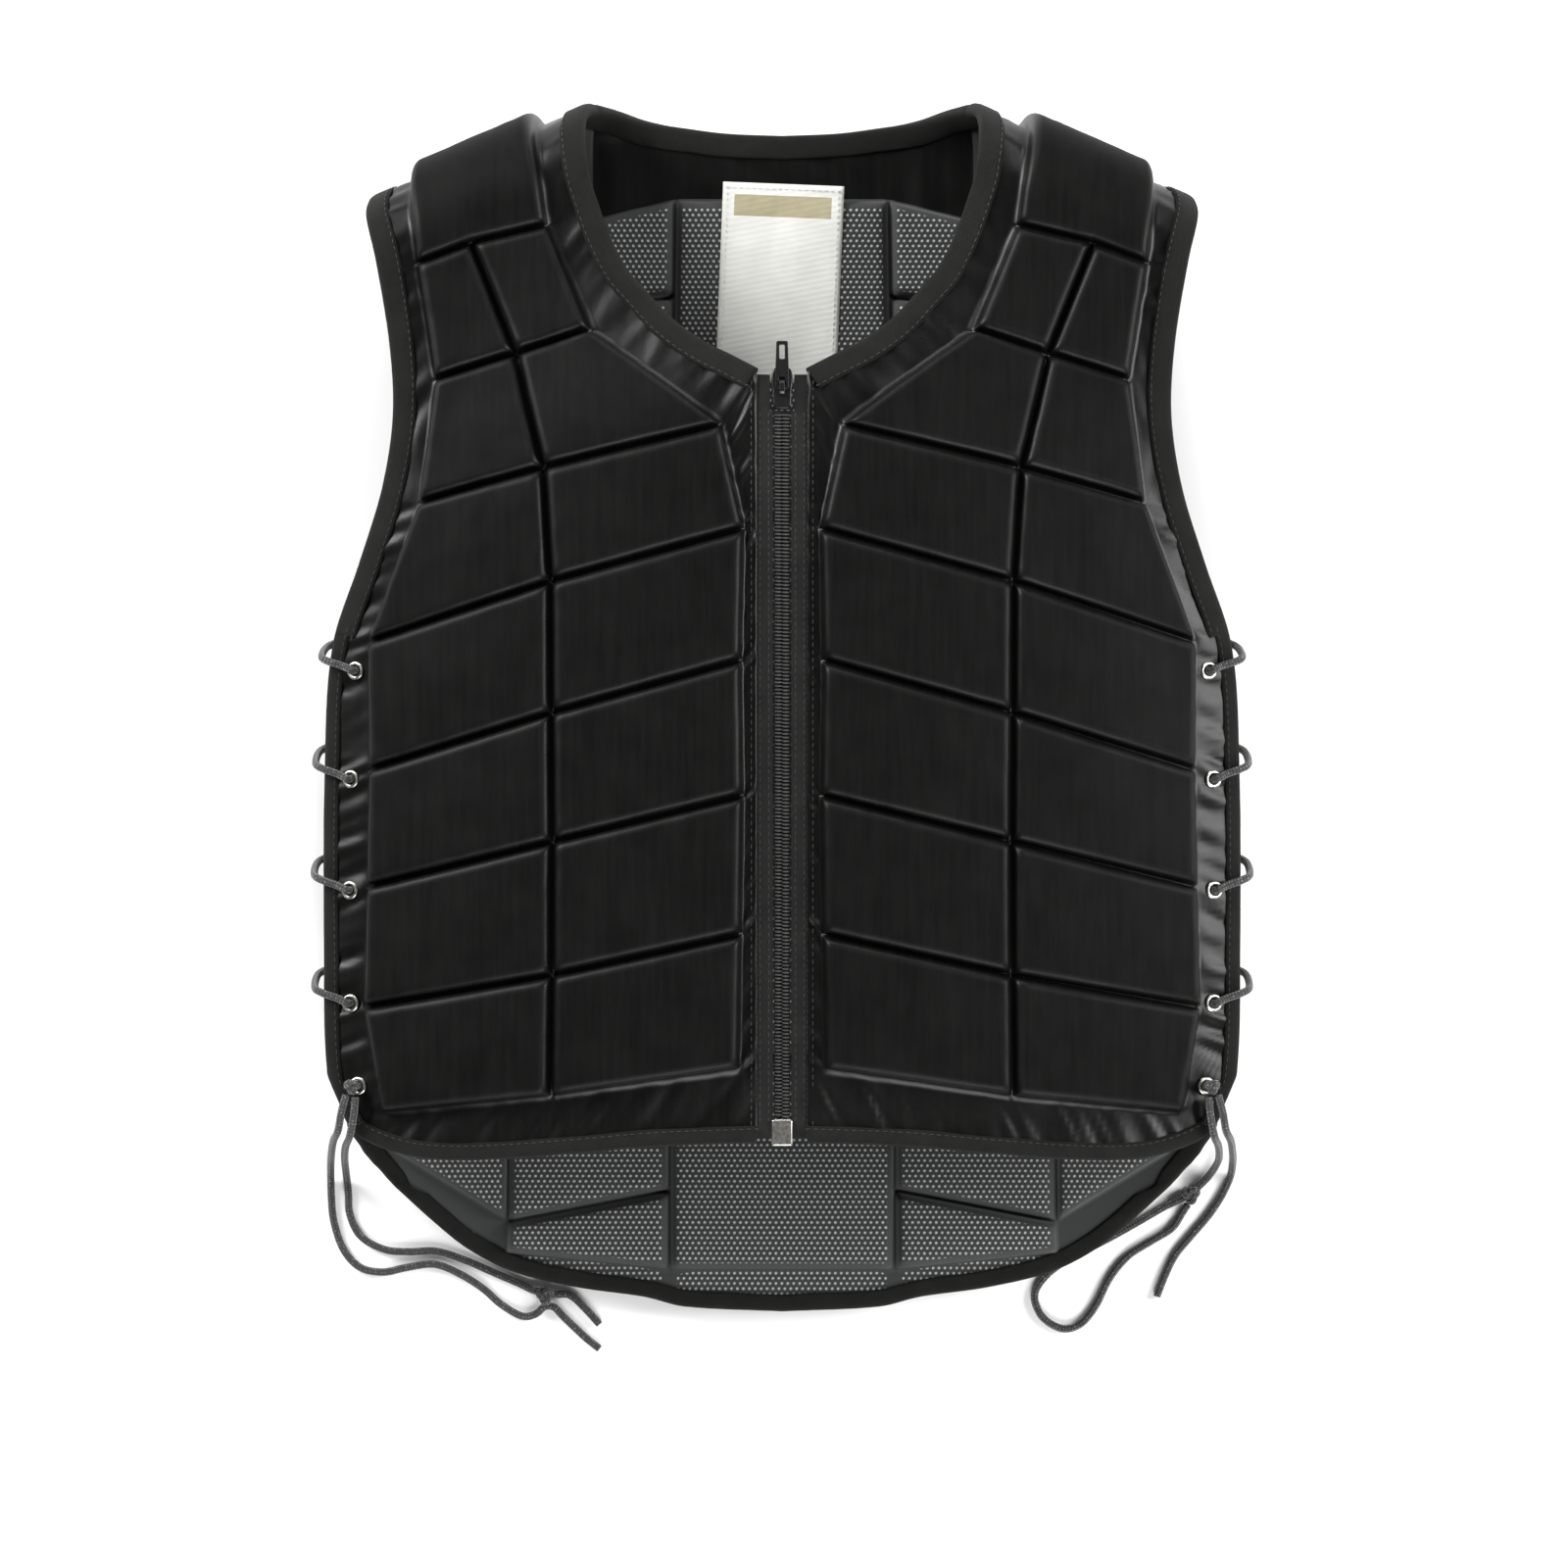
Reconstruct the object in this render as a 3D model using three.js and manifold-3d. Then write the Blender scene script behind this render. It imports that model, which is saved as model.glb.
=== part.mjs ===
// A child's riding body protector, laid on its back: two quilted front panels joined by a zip,
// one quilted back panel, bound edges, and laced sides that end in bows.
// Millimetres, +Z up, neck towards +Y. Tables give d as a share of HALF_WIDTH and s as a share
// of LENGTH, counted from the back hem to the top of the shoulders.
import * as THREE from 'three';
import { mergeVertices } from 'three/addons/utils/BufferGeometryUtils.js';
import Module from 'manifold-3d';

const wasm = await Module();
wasm.setup();

// Overall form
const LENGTH = 508;
const HALF_WIDTH = 190;
const SIDE_HEIGHT = 48;
const HEM_RISE = 32;
const CHEST_RISE = 12;
const BACK_CURL = 14;
const CURL_START = 110;
const FOLD_RADIUS = 24;
const SHOULDER_SLOPE = THREE.MathUtils.degToRad(23.5);
const SHOULDER_EASE = 120;
// Quilting
const BLOCK = 18;
const CLOTH = 3;
const BEVEL = 4.5;
const FOOT = 1.2;
const STRAP_BORDER = 13;
// Fit and edges
const GAP = 0.3;
const TAPE_WALL = 1;
const NECK_BINDING = 9;
const SIDE_BINDING = 6;
const BINDING_SLACK = 0.06;
const BINDING_EASE = 0.25;
// Eyelets and lace
const EYELET_BORE = 2.1;
const EYELET_BARREL = 2.6;
const EYELET_FLANGE = 3.7;
const EYELET_RIM = 0.7;
const LACE = 3.2;
const KNOT = 4;
// Zip
const FRONT_GAP = 10.6;
const CHAIN_WIDTH = 6.8;
const CHAIN_THICKNESS = 2.4;
const ZIP_TAPE = 1;
const SLIDER_WIDTH = 9.4;
const SLIDER_LENGTH = 17.5;
const SLIDER_THICKNESS = 4;
const PULL_WIDTH = 5.6;
const PULL_LENGTH = 20;
const PULL_THICKNESS = 1.2;
const BRIDGE_WIDTH = 2.2;
const BOX_WIDTH = 8.6;
const BOX_LENGTH = 11;
const BOX_THICKNESS = 3.4;
// Label
const LABEL_WIDTH = 51;
const LABEL_LENGTH = 84;
const LABEL_THICKNESS = 0.8;
const LABEL_TILT = THREE.MathUtils.degToRad(-2.3);

const vec2 = (x, y) => new THREE.Vector2(x, y);
const vec3 = (x, y, z) => new THREE.Vector3(x, y, z);
const mix = THREE.MathUtils.lerp;
const yOf = (s) => (s - 0.5) * LENGTH;
const sOf = (y) => y / LENGTH + 0.5;
const at = ([d, s]) => vec2(d * HALF_WIDTH, yOf(s));

// Outlines, each a smooth curve through its rows of [s, d] or [d, s]
const SIDE_EDGE = [
  [0.165, 0.963], [0.2, 0.993], [0.3, 1], [0.45, 0.998], [0.55, 0.981], [0.62, 0.92], [0.68, 0.871],
  [0.74, 0.848], [0.8, 0.857], [0.87, 0.888], [0.92, 0.918], [1.04, 0.925],
];
const NECK_EDGE = [
  [0.775, 0.056], [0.785, 0.108], [0.797, 0.172], [0.815, 0.239], [0.837, 0.295], [0.86, 0.347],
  [0.889, 0.386], [0.918, 0.414], [0.942, 0.433], [1.04, 0.46],
];
const FRONT_HEM = [
  [0.056, 0.146], [0.27, 0.143], [0.45, 0.137], [0.625, 0.132], [0.744, 0.131], [0.83, 0.135],
  [0.92, 0.148], [0.963, 0.165],
];
const BACK_HEM = [
  [0, 0.002], [0.216, 0.006], [0.304, 0.014], [0.455, 0.022], [0.597, 0.035], [0.696, 0.054],
  [0.772, 0.077], [0.836, 0.099], [0.87, 0.111], [0.929, 0.137],
];
const BACK_NECK = [
  [0, 0.973], [0.125, 0.975], [0.209, 0.979], [0.276, 0.983], [0.323, 0.988], [0.395, 1.001],
  [0.427, 1.009],
];

// Height of a smooth curve at u, through rows of [u, value]
function along(rows, u) {
  const last = rows.length - 1;
  let i = rows.findIndex((row) => row[0] > u) - 1;
  if (u <= rows[0][0]) i = 0;
  if (i < 0) i = last - 1;
  const slope = (k) => {
    const a = rows[Math.max(k - 1, 0)];
    const b = rows[Math.min(k + 1, last)];
    return (b[1] - a[1]) / (b[0] - a[0]);
  };
  const [u0, v0] = rows[i];
  const [u1, v1] = rows[i + 1];
  const span = u1 - u0;
  const t = (u - u0) / span;
  const t2 = t * t;
  const t3 = t2 * t;
  return (2 * t3 - 3 * t2 + 1) * v0 + (t3 - 2 * t2 + t) * span * slope(i)
    + (3 * t2 - 2 * t3) * v1 + (t3 - t2) * span * slope(i + 1);
}

// The two lying faces and the round fold that joins them at each shoulder
const OUT = vec2(Math.sin(SHOULDER_SLOPE), Math.cos(SHOULDER_SLOPE));
const FOLD_HEIGHT = FOLD_RADIUS + BLOCK / 2;
const FOLD = at([0.427, 0.998]).addScaledVector(OUT, -FOLD_RADIUS - CLOTH / 2);
const JOINT_TURN = 0.6 * Math.PI;
const FRONT_REACH = FOLD_RADIUS * JOINT_TURN - GAP / 2;
const BACK_REACH = FOLD_RADIUS * (Math.PI - JOINT_TURN) - GAP / 2;

const pastFold = (x, y) => (x - FOLD.x) * OUT.x + (y - FOLD.y) * OUT.y;

function restHeight(side, x, y, q) {
  const ease = THREE.MathUtils.smoothstep(q, -SHOULDER_EASE, 0);
  if (side < 0) {
    const curl = Math.max(x - CURL_START, 0) / (HALF_WIDTH - CURL_START);
    return BLOCK / 2 + BACK_CURL * curl * curl * (1 - ease);
  }
  const chest = Math.sin(Math.PI * THREE.MathUtils.clamp((sOf(y) - 0.16) / 0.76, 0, 1));
  const arch = 1 - Math.pow(x / HALF_WIDTH, 2.4);
  const height = SIDE_HEIGHT + (HEM_RISE + CHEST_RISE * chest) * arch;
  return mix(height, FOLD_HEIGHT + FOLD_RADIUS, ease);
}

// side is 1 on the front and -1 on the back; p is a place on the flat pattern
function surface(side, p) {
  const x = Math.abs(p.x);
  const q = pastFold(x, p.y);
  if (q <= 0) return vec3(p.x, p.y, restHeight(side, x, p.y, q));
  const turn = q / FOLD_RADIUS;
  const reach = FOLD_RADIUS * Math.sin(turn) - q;
  const sign = p.x < 0 ? -1 : 1;
  const height = FOLD_HEIGHT + side * FOLD_RADIUS * Math.cos(turn);
  return vec3(sign * (x + OUT.x * reach), p.y + OUT.y * reach, height);
}

function normalAt(side, p) {
  const step = 0.05;
  const dx = surface(side, vec2(p.x + step, p.y)).sub(surface(side, vec2(p.x - step, p.y)));
  const dy = surface(side, vec2(p.x, p.y + step)).sub(surface(side, vec2(p.x, p.y - step)));
  return dx.cross(dy).normalize().multiplyScalar(side);
}

const place = (side, p, lift = 0) => surface(side, p).addScaledVector(normalAt(side, p), lift);

// Closed bodies from rings of points: every ring has as many points, and both ends are capped
function geometryOf(points, faces) {
  const geometry = new THREE.BufferGeometry();
  geometry.setAttribute('position', new THREE.Float32BufferAttribute(points.flatMap((p) => p.toArray()), 3));
  geometry.setIndex(faces.flat());
  return outward(geometry);
}

function outward(geometry) {
  const spot = geometry.getAttribute('position');
  const index = geometry.getIndex().array;
  const a = vec3();
  const b = vec3();
  const c = vec3();
  let volume = 0;
  for (let i = 0; i < index.length; i += 3) {
    a.fromBufferAttribute(spot, index[i]);
    b.fromBufferAttribute(spot, index[i + 1]);
    c.fromBufferAttribute(spot, index[i + 2]);
    volume += a.dot(b.cross(c));
  }
  if (volume < 0) {
    for (let i = 0; i < index.length; i += 3) [index[i + 1], index[i + 2]] = [index[i + 2], index[i + 1]];
  }
  return geometry;
}

function loft(rings, cap = fanCap) {
  const size = rings[0].length;
  const faces = [];
  for (let k = 0; k + 1 < rings.length; k += 1) {
    for (let i = 0; i < size; i += 1) {
      const j = (i + 1) % size;
      const a = k * size;
      const b = a + size;
      faces.push([a + i, a + j, b + j], [a + i, b + j, b + i]);
    }
  }
  const end = (rings.length - 1) * size;
  for (const [a, b, c] of cap(size)) faces.push([a, c, b], [end + a, end + b, end + c]);
  return geometryOf(rings.flat(), faces);
}

const fanCap = (size) => Array.from({ length: size - 2 }, (_, i) => [0, i + 1, i + 2]);
const CHANNEL_CAP = () => [[3, 4, 5], [3, 5, 2], [2, 5, 6], [2, 6, 1], [1, 6, 7], [1, 7, 0]];

// Manifold solids for cuts and joins
function solidOf(geometry) {
  const bare = geometry.clone();
  for (const name of ['normal', 'uv']) bare.deleteAttribute(name);
  const merged = mergeVertices(bare, 1e-4);
  return new wasm.Manifold(new wasm.Mesh({
    numProp: 3,
    vertProperties: new Float32Array(merged.getAttribute('position').array),
    triVerts: new Uint32Array(merged.getIndex().array),
  }));
}

function geometryFrom(solid) {
  const mesh = solid.getMesh();
  const geometry = new THREE.BufferGeometry();
  geometry.setAttribute('position', new THREE.BufferAttribute(mesh.vertProperties, 3));
  geometry.setIndex(new THREE.BufferAttribute(mesh.triVerts, 1));
  return geometry;
}

// A quilted panel is a grid of stations. Each has its pattern place, and stands at full block
// thickness where thick is true, or at cloth thickness on seams and borders.
function panelGeometry(side, grid, growth = 0) {
  const rows = grid.length;
  const columns = grid[0].length;
  const points = [];
  for (const face of [1, -1]) {
    for (const { p, thick } of grid.flat()) {
      points.push(place(side, p, face * ((thick ? BLOCK : CLOTH) / 2 + growth)));
    }
  }
  const id = (face, v, u) => face * rows * columns + v * columns + u;
  const faces = [];
  const quad = (a, b, c, d) => faces.push([a, b, c], [a, c, d]);
  for (let v = 0; v + 1 < rows; v += 1) {
    for (let u = 0; u + 1 < columns; u += 1) {
      quad(id(0, v, u), id(0, v, u + 1), id(0, v + 1, u + 1), id(0, v + 1, u));
      quad(id(1, v, u), id(1, v + 1, u), id(1, v + 1, u + 1), id(1, v, u + 1));
    }
    quad(id(0, v, 0), id(0, v + 1, 0), id(1, v + 1, 0), id(1, v, 0));
    quad(id(0, v + 1, columns - 1), id(0, v, columns - 1), id(1, v, columns - 1), id(1, v + 1, columns - 1));
  }
  for (let u = 0; u + 1 < columns; u += 1) {
    quad(id(0, 0, u + 1), id(0, 0, u), id(1, 0, u), id(1, 0, u + 1));
    quad(id(0, rows - 1, u), id(0, rows - 1, u + 1), id(1, rows - 1, u + 1), id(1, rows - 1, u));
  }
  return geometryOf(points, faces);
}

// Stations between two seams: a crown one bevel in from each, and mids between them
function shares(low, high, mids, top = BEVEL) {
  const first = Math.min(BEVEL / low.distanceTo(high), 0.4);
  const last = 1 - Math.min(top / low.distanceTo(high), 0.4);
  return Array.from({ length: mids + 2 }, (_, k) => mix(first, last, k / (mids + 1)));
}

const between = (a, b, share) => vec2(mix(a.x, b.x, share), mix(a.y, b.y, share));
const toward = (a, b, reach) => between(a, b, Math.min(reach / a.distanceTo(b), 0.45));

// Front seams from hem to shoulder. neck and side are the heights of the two edges; inner, middle
// and outer are the seam's ends and its crossing with the upright seam; mids serve the row above.
const FRONT_SEAMS = [
  { neck: 0.199, inner: [0.091, 0.205], middle: [0.502, 0.182], outer: [0.873, 0.167], side: 0.197, mids: 0 },
  { neck: 0.316, inner: [0.086, 0.316], middle: [0.498, 0.282], outer: [0.912, 0.254], side: 0.254, mids: 0 },
  { neck: 0.429, inner: [0.082, 0.429], middle: [0.496, 0.391], outer: [0.903, 0.353], side: 0.353, mids: 0 },
  { neck: 0.539, inner: [0.086, 0.539], middle: [0.498, 0.496], outer: [0.898, 0.449], side: 0.449, mids: 0 },
  { neck: 0.646, inner: [0.08, 0.646], middle: [0.5, 0.603], outer: [0.9, 0.554], side: 0.559, mids: 1 },
  { neck: 0.775, inner: [0.13, 0.731], middle: [0.515, 0.695], outer: [0.789, 0.667], side: 0.672, mids: 2 },
  { neck: 0.823, inner: [0.414, 0.807], middle: [0.578, 0.788], outer: [0.759, 0.768], side: 0.776, mids: 1 },
  { neck: 0.904, inner: [0.513, 0.896], middle: [0.683, 0.882], outer: [0.806, 0.865], side: 0.867, mids: 5 },
];
const FRONT_TOP = { neck: 0.46, inner: 0.56, middle: 0.69, outer: 0.83, side: 0.925 };

// Pattern place on the shoulder joint at the share d, for the front or the back
function jointAt(d, side) {
  const x = d * HALF_WIDTH;
  const y = FOLD.y + (FRONT_REACH - (x - FOLD.x) * OUT.x) / OUT.y;
  return side > 0 ? vec2(x, y) : vec2(x, y).addScaledVector(OUT, BACK_REACH - FRONT_REACH);
}

const neckAt = (s) => vec2(
  s < NECK_EDGE[0][0] ? FRONT_GAP : Math.max(along(NECK_EDGE, s) * HALF_WIDTH, FRONT_GAP), yOf(s));
const sideAt = (s) => vec2(along(SIDE_EDGE, s) * HALF_WIDTH, yOf(s));
const hemAt = (rows, x) => vec2(x, yOf(along(rows, x / HALF_WIDTH)));
const HEM_CORNER = { front: [0.951, 0.156], back: [0.951, 0.15] };

function frontGrid() {
  const seams = FRONT_SEAMS.map((row) => ({
    neck: row.neck, side: row.side, mids: row.mids,
    inner: at(row.inner), middle: at(row.middle), outer: at(row.outer),
  }));
  const top = { mids: 0 };
  for (const key of ['inner', 'middle', 'outer']) top[key] = jointAt(FRONT_TOP[key], 1);
  top.neck = sOf(jointAt(FRONT_TOP.neck, 1).y);
  top.side = sOf(jointAt(FRONT_TOP.side, 1).y);
  seams.push(top);
  const across = (neck, inner, middle, outer, side, thick, whole) => [
    { p: neck, thick: false },
    { p: inner, thick: false },
    { p: toward(inner, middle, BEVEL), thick },
    { p: toward(middle, inner, BEVEL), thick },
    { p: middle, thick: thick && whole },
    { p: toward(middle, outer, BEVEL), thick },
    { p: toward(outer, middle, BEVEL), thick },
    { p: outer, thick: false },
    { p: side, thick: false },
  ];
  const grid = [];
  seams.forEach((low, row) => {
    const high = seams[row + 1];
    grid.push(across(neckAt(low.neck), low.inner, low.middle, low.outer, sideAt(low.side), false, false));
    if (!high) return;
    const whole = row === seams.length - 2;
    const steps = {};
    for (const key of ['inner', 'middle', 'outer']) steps[key] = shares(low[key], high[key], low.mids);
    steps.inner.forEach((share, k) => {
      grid.push(across(
        neckAt(mix(low.neck, high.neck, share)),
        between(low.inner, high.inner, share),
        between(low.middle, high.middle, steps.middle[k]),
        between(low.outer, high.outer, steps.outer[k]),
        sideAt(mix(low.side, high.side, steps.outer[k])),
        true,
        whole,
      ));
    });
  });
  const hem = grid[0].map(({ p }) => ({ p: hemAt(FRONT_HEM, p.x), thick: false }));
  hem[0].p = hemAt(FRONT_HEM, FRONT_GAP);
  hem[hem.length - 1].p = at(HEM_CORNER.front);
  return [hem, ...grid];
}

// Back seams from hem to neck: the seam's ends on the upright seams, and the side edge's height.
// open lists the columns, counted from the middle, that this seam does not cross.
const BACK_SEAMS = [
  { inner: [0.25, 0.034], middle: [0.614, 0.048], outer: [0.86, 0.111], side: 0.18, open: [] },
  { inner: [0.25, 0.1], middle: [0.61, 0.074], outer: [0.86, 0.131], side: 0.2, open: [0] },
  { inner: [0.25, 0.2115], middle: [0.606, 0.182], outer: [0.903, 0.155], side: 0.23, open: [] },
  { inner: [0.25, 0.323], middle: [0.603, 0.293], outer: [0.908, 0.26], side: 0.29, open: [0] },
  { inner: [0.25, 0.434], middle: [0.6, 0.404], outer: [0.901, 0.373], side: 0.38, open: [] },
  { inner: [0.25, 0.546], middle: [0.595, 0.516], outer: [0.899, 0.482], side: 0.482, open: [0], mids: 1 },
  { inner: [0.247, 0.657], middle: [0.56, 0.627], outer: [0.855, 0.605], side: 0.605, open: [] },
  { inner: [0.243, 0.768], middle: [0.5, 0.739], outer: [0.76, 0.704], side: 0.704, open: [0] },
  { inner: [0.24, 0.841], middle: [0.44, 0.833], outer: [0.77, 0.801], side: 0.801, open: [0] },
  { inner: [0.237, 0.922], middle: [0.422, 0.905], outer: [0.806, 0.872], side: 0.872, open: [] },
];
const BACK_TOP = { inner: 0.2, strap: 0.56, outer: 0.83 };

function backGrid() {
  const seams = BACK_SEAMS.map((row) => ({
    inner: at(row.inner), middle: at(row.middle), outer: at(row.outer),
    side: row.side, open: row.open, mids: row.mids ?? 0,
  }));
  const crest = {
    inner: hemAt(BACK_NECK, BACK_TOP.inner * HALF_WIDTH),
    middle: jointAt(FRONT_TOP.neck, -1),
    outer: jointAt(BACK_TOP.outer, -1),
    open: [],
  };
  const corner = jointAt(FRONT_TOP.side, -1);
  seams.push(crest);
  const last = seams.length - 2;
  const across = (inner, middle, foot, outer, side, thick) => [
    { p: toward(inner, vec2(0, inner.y), BEVEL), thick: thick[0] },
    { p: inner, thick: false },
    { p: toward(inner, middle, BEVEL), thick: thick[1] },
    { p: between(inner, middle, 0.5), thick: thick[1] },
    { p: toward(middle, inner, BEVEL), thick: thick[1] },
    { p: middle, thick: false },
    { p: foot, thick: false },
    { p: toward(foot, outer, BEVEL), thick: thick[2] },
    { p: toward(outer, foot, BEVEL), thick: thick[2] },
    { p: outer, thick: false },
    { p: side, thick: false },
  ];
  const half = [];
  const footOf = (middle, outer, wide) => toward(middle, outer, mix(FOOT, STRAP_BORDER, wide));
  seams.forEach((low, row) => {
    const high = seams[row + 1];
    if (!high) return;
    const wide = row === last ? 0.5 : 0;
    const crossed = [0, 1, 2].map((column) => low.open.includes(column));
    half.push(across(low.inner, low.middle, footOf(low.middle, low.outer, wide), low.outer,
      sideAt(low.side), crossed));
    const steps = {};
    const mids = row === last ? 3 : low.mids;
    const top = row === last ? NECK_BINDING + 2 : BEVEL;
    for (const key of ['inner', 'middle', 'outer']) steps[key] = shares(low[key], high[key], mids, top);
    const thick = row === last ? [false, false, true] : [true, true, row > 0];
    steps.outer.forEach((share, k) => {
      const middle = between(low.middle, high.middle, steps.middle[k]);
      const outer = between(low.outer, high.outer, share);
      const side = row === last ? between(sideAt(low.side), corner, share)
        : sideAt(mix(low.side, high.side, share));
      const border = row === last ? mix(0.5, 1, share) : 0;
      half.push(across(between(low.inner, high.inner, steps.inner[k]), middle,
        footOf(middle, outer, border), outer, side, thick));
    });
  });
  const strap = jointAt(BACK_TOP.strap, -1);
  const ridge = across(crest.inner, crest.middle, strap, crest.outer, corner, [false, false, false]);
  for (const spot of ridge.slice(0, 5)) spot.p = hemAt(BACK_NECK, spot.p.x);
  half.push(ridge);
  const hem = half[0].map(({ p }) => ({ p: hemAt(BACK_HEM, p.x), thick: false }));
  hem[hem.length - 1].p = at(HEM_CORNER.back);
  hem[hem.length - 2].p = hemAt(BACK_HEM, half[0][9].p.x + 6);
  half.unshift(hem);
  return half.map((row) => [
    ...row.map(({ p, thick }) => ({ p: vec2(-p.x, p.y), thick })).reverse(),
    ...row,
  ]);
}

// A binding is a folded tape. Its path has, at each stop, a place on the panel's edge and one
// further in on the same panel, so that the tape's two arms follow the cloth between them.
function edgeStop(side, edge, inside) {
  const spot = place(side, edge.p);
  const inward = place(side, inside.p).sub(spot).normalize();
  return { spot, inward, normal: normalAt(side, edge.p) };
}

function thinned(path) {
  const kept = [path[0]];
  let first = 0;
  for (let k = 1; k + 1 < path.length; k += 1) {
    const a = kept[kept.length - 1].spot;
    const line = new THREE.Line3(a, path[k + 1].spot);
    const off = path.slice(first + 1, k + 1).map(({ spot }) => (
      line.closestPointToPoint(spot, true, vec3()).distanceTo(spot)));
    if (Math.max(...off) < BINDING_SLACK) continue;
    kept.push(path[k]);
    first = k;
  }
  kept.push(path[path.length - 1]);
  return kept;
}

function shortened(path, reach) {
  const [a, b] = path;
  const spot = a.spot.clone().lerp(b.spot, reach / a.spot.distanceTo(b.spot));
  return [{ ...a, spot }, ...path.slice(1)];
}

const trimmed = (path) => shortened(shortened(path, GAP / 2).reverse(), GAP / 2).reverse();

function bindingGeometry(path, arm) {
  const rings = path.map(({ spot, inward, normal }, k) => {
    const before = path[Math.max(k - 1, 0)].spot;
    const after = path[Math.min(k + 1, path.length - 1)].spot;
    const run = after.clone().sub(before).normalize();
    const slant = Math.max(Math.sqrt(1 - Math.pow(run.dot(inward), 2)), 0.5);
    const point = (reach, lift) => spot.clone().addScaledVector(inward, reach / slant)
      .addScaledVector(normal, lift);
    const slot = CLOTH / 2 + GAP + BINDING_EASE;
    const back = -GAP - TAPE_WALL;
    return [
      point(arm, slot), point(-GAP, slot), point(-GAP, -slot), point(arm, -slot),
      point(arm, -slot - TAPE_WALL), point(back, -slot - TAPE_WALL),
      point(back, slot + TAPE_WALL), point(arm, slot + TAPE_WALL),
    ];
  });
  return loft(rings, CHANNEL_CAP);
}

const group = new THREE.Group();

const CLOTH_FINISH = new THREE.MeshStandardMaterial({ color: 0x0c0d0c, roughness: 0.6, metalness: 0 });
const TAPE_FINISH = new THREE.MeshStandardMaterial({ color: 0x1b1d1a, roughness: 0.85, metalness: 0 });
const CHAIN_FINISH = new THREE.MeshStandardMaterial({ color: 0x2c2e2b, roughness: 0.5, metalness: 0 });
const LACE_FINISH = new THREE.MeshStandardMaterial({ color: 0x141414, roughness: 0.9, metalness: 0 });
const NICKEL_FINISH = new THREE.MeshStandardMaterial({ color: 0xb8b6ae, roughness: 0.3, metalness: 1 });
const BLACK_METAL = new THREE.MeshStandardMaterial({ color: 0x0d0d0d, roughness: 0.3, metalness: 0.8 });
const LABEL_FINISH = new THREE.MeshStandardMaterial({ color: 0xe6e6de, roughness: 0.7, metalness: 0 });

function add(name, geometry, material, parent = group) {
  geometry.computeVertexNormals();
  const mesh = new THREE.Mesh(geometry, material.clone());
  mesh.name = name;
  parent.add(mesh);
  return mesh;
}

// Mirrors a grid of stations to the wearer's right
const mirrored = (grid) => grid.map((row) => row.map(({ p, thick }) => ({ p: vec2(-p.x, p.y), thick })));
const SIDES = [{ name: 'left', sign: 1 }, { name: 'right', sign: -1 }];
const ON_SIDE = { left: (grid) => grid, right: mirrored };

// Eyelets stand in the strip between the edge tape and the blocks, front ones half a pitch below
// the back ones, so that the lace winds upwards from each front one to its neighbour at the back
const EYELET_SHARES = [0.533, 0.442, 0.35, 0.257, 0.182];
const BACK_EYELET_RISE = 0.033;
const EYELET_INSET = SIDE_BINDING + 2 * GAP + EYELET_FLANGE;

function eyeletPlace(side, sign, s) {
  const edge = sideAt(s);
  const run = sideAt(s + 0.005).sub(sideAt(s - 0.005)).normalize();
  const p = vec2(sign * (edge.x - run.y * EYELET_INSET), edge.y + run.x * EYELET_INSET);
  return { spot: place(side, p), axis: normalAt(side, p) };
}

function turnedTo({ spot, axis }, geometry) {
  const turn = new THREE.Quaternion().setFromUnitVectors(vec3(0, 1, 0), axis);
  return geometry.applyQuaternion(turn).translate(spot.x, spot.y, spot.z);
}

function eyeletGeometry(where) {
  const seat = CLOTH / 2 + GAP;
  const profile = [
    [EYELET_BORE, -seat], [EYELET_BARREL, -seat], [EYELET_BARREL, seat],
    [EYELET_FLANGE, seat], [EYELET_BORE, seat + EYELET_RIM], [EYELET_BORE, -seat],
  ];
  const ring = new THREE.LatheGeometry(profile.map(([x, y]) => vec2(x, y)), 8);
  return geometryFrom(solidOf(turnedTo(where, ring)));
}

function pierced(geometry, places) {
  let solid = solidOf(geometry);
  for (const where of places) {
    const drill = new THREE.CylinderGeometry(EYELET_BARREL + GAP, EYELET_BARREL + GAP, BLOCK, 8);
    solid = solid.subtract(solidOf(turnedTo(where, drill)));
  }
  return geometryFrom(solid);
}

const frontHalf = frontGrid();
const back = backGrid();
const eyelets = {};
for (const { name, sign } of SIDES) {
  eyelets[name] = {
    front: EYELET_SHARES.map((s) => eyeletPlace(1, sign, s)),
    back: EYELET_SHARES.map((s) => eyeletPlace(-1, sign, s + BACK_EYELET_RISE)),
  };
}

// Panels
for (const { name } of SIDES) {
  const grid = ON_SIDE[name](frontHalf);
  add(`front_${name}_panel`, pierced(panelGeometry(1, grid), eyelets[name].front), CLOTH_FINISH);
}
add('back_panel', pierced(panelGeometry(-1, back), [...eyelets.left.back, ...eyelets.right.back]),
  CLOTH_FINISH);

// Bindings. The armhole tape ends where the laced side begins. Where the cloth twists, the tape's
// arms are relieved by the panel grown by the gap.
const grownBack = solidOf(panelGeometry(-1, back, GAP));
const relieved = (geometry) => geometryFrom(solidOf(geometry).subtract(grownBack));
const ARMHOLE_FOOT = 0.56;
const edgeOf = (side, grid, v) => {
  const row = grid[v];
  return edgeStop(side, row[row.length - 1], row[row.length - 2]);
};
const neckOf = (grid, v) => edgeStop(1, grid[v][0], grid[v][1]);
const rowsAbove = (grid, s) => grid.map((_, v) => v).filter((v) => {
  const row = grid[v];
  return v > 0 && sOf(row[row.length - 1].p.y) > s;
});
const rowsBelow = (grid, s) => grid.map((_, v) => v).filter((v) => {
  const row = grid[v];
  return v > 0 && sOf(row[row.length - 1].p.y) <= s;
});
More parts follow.
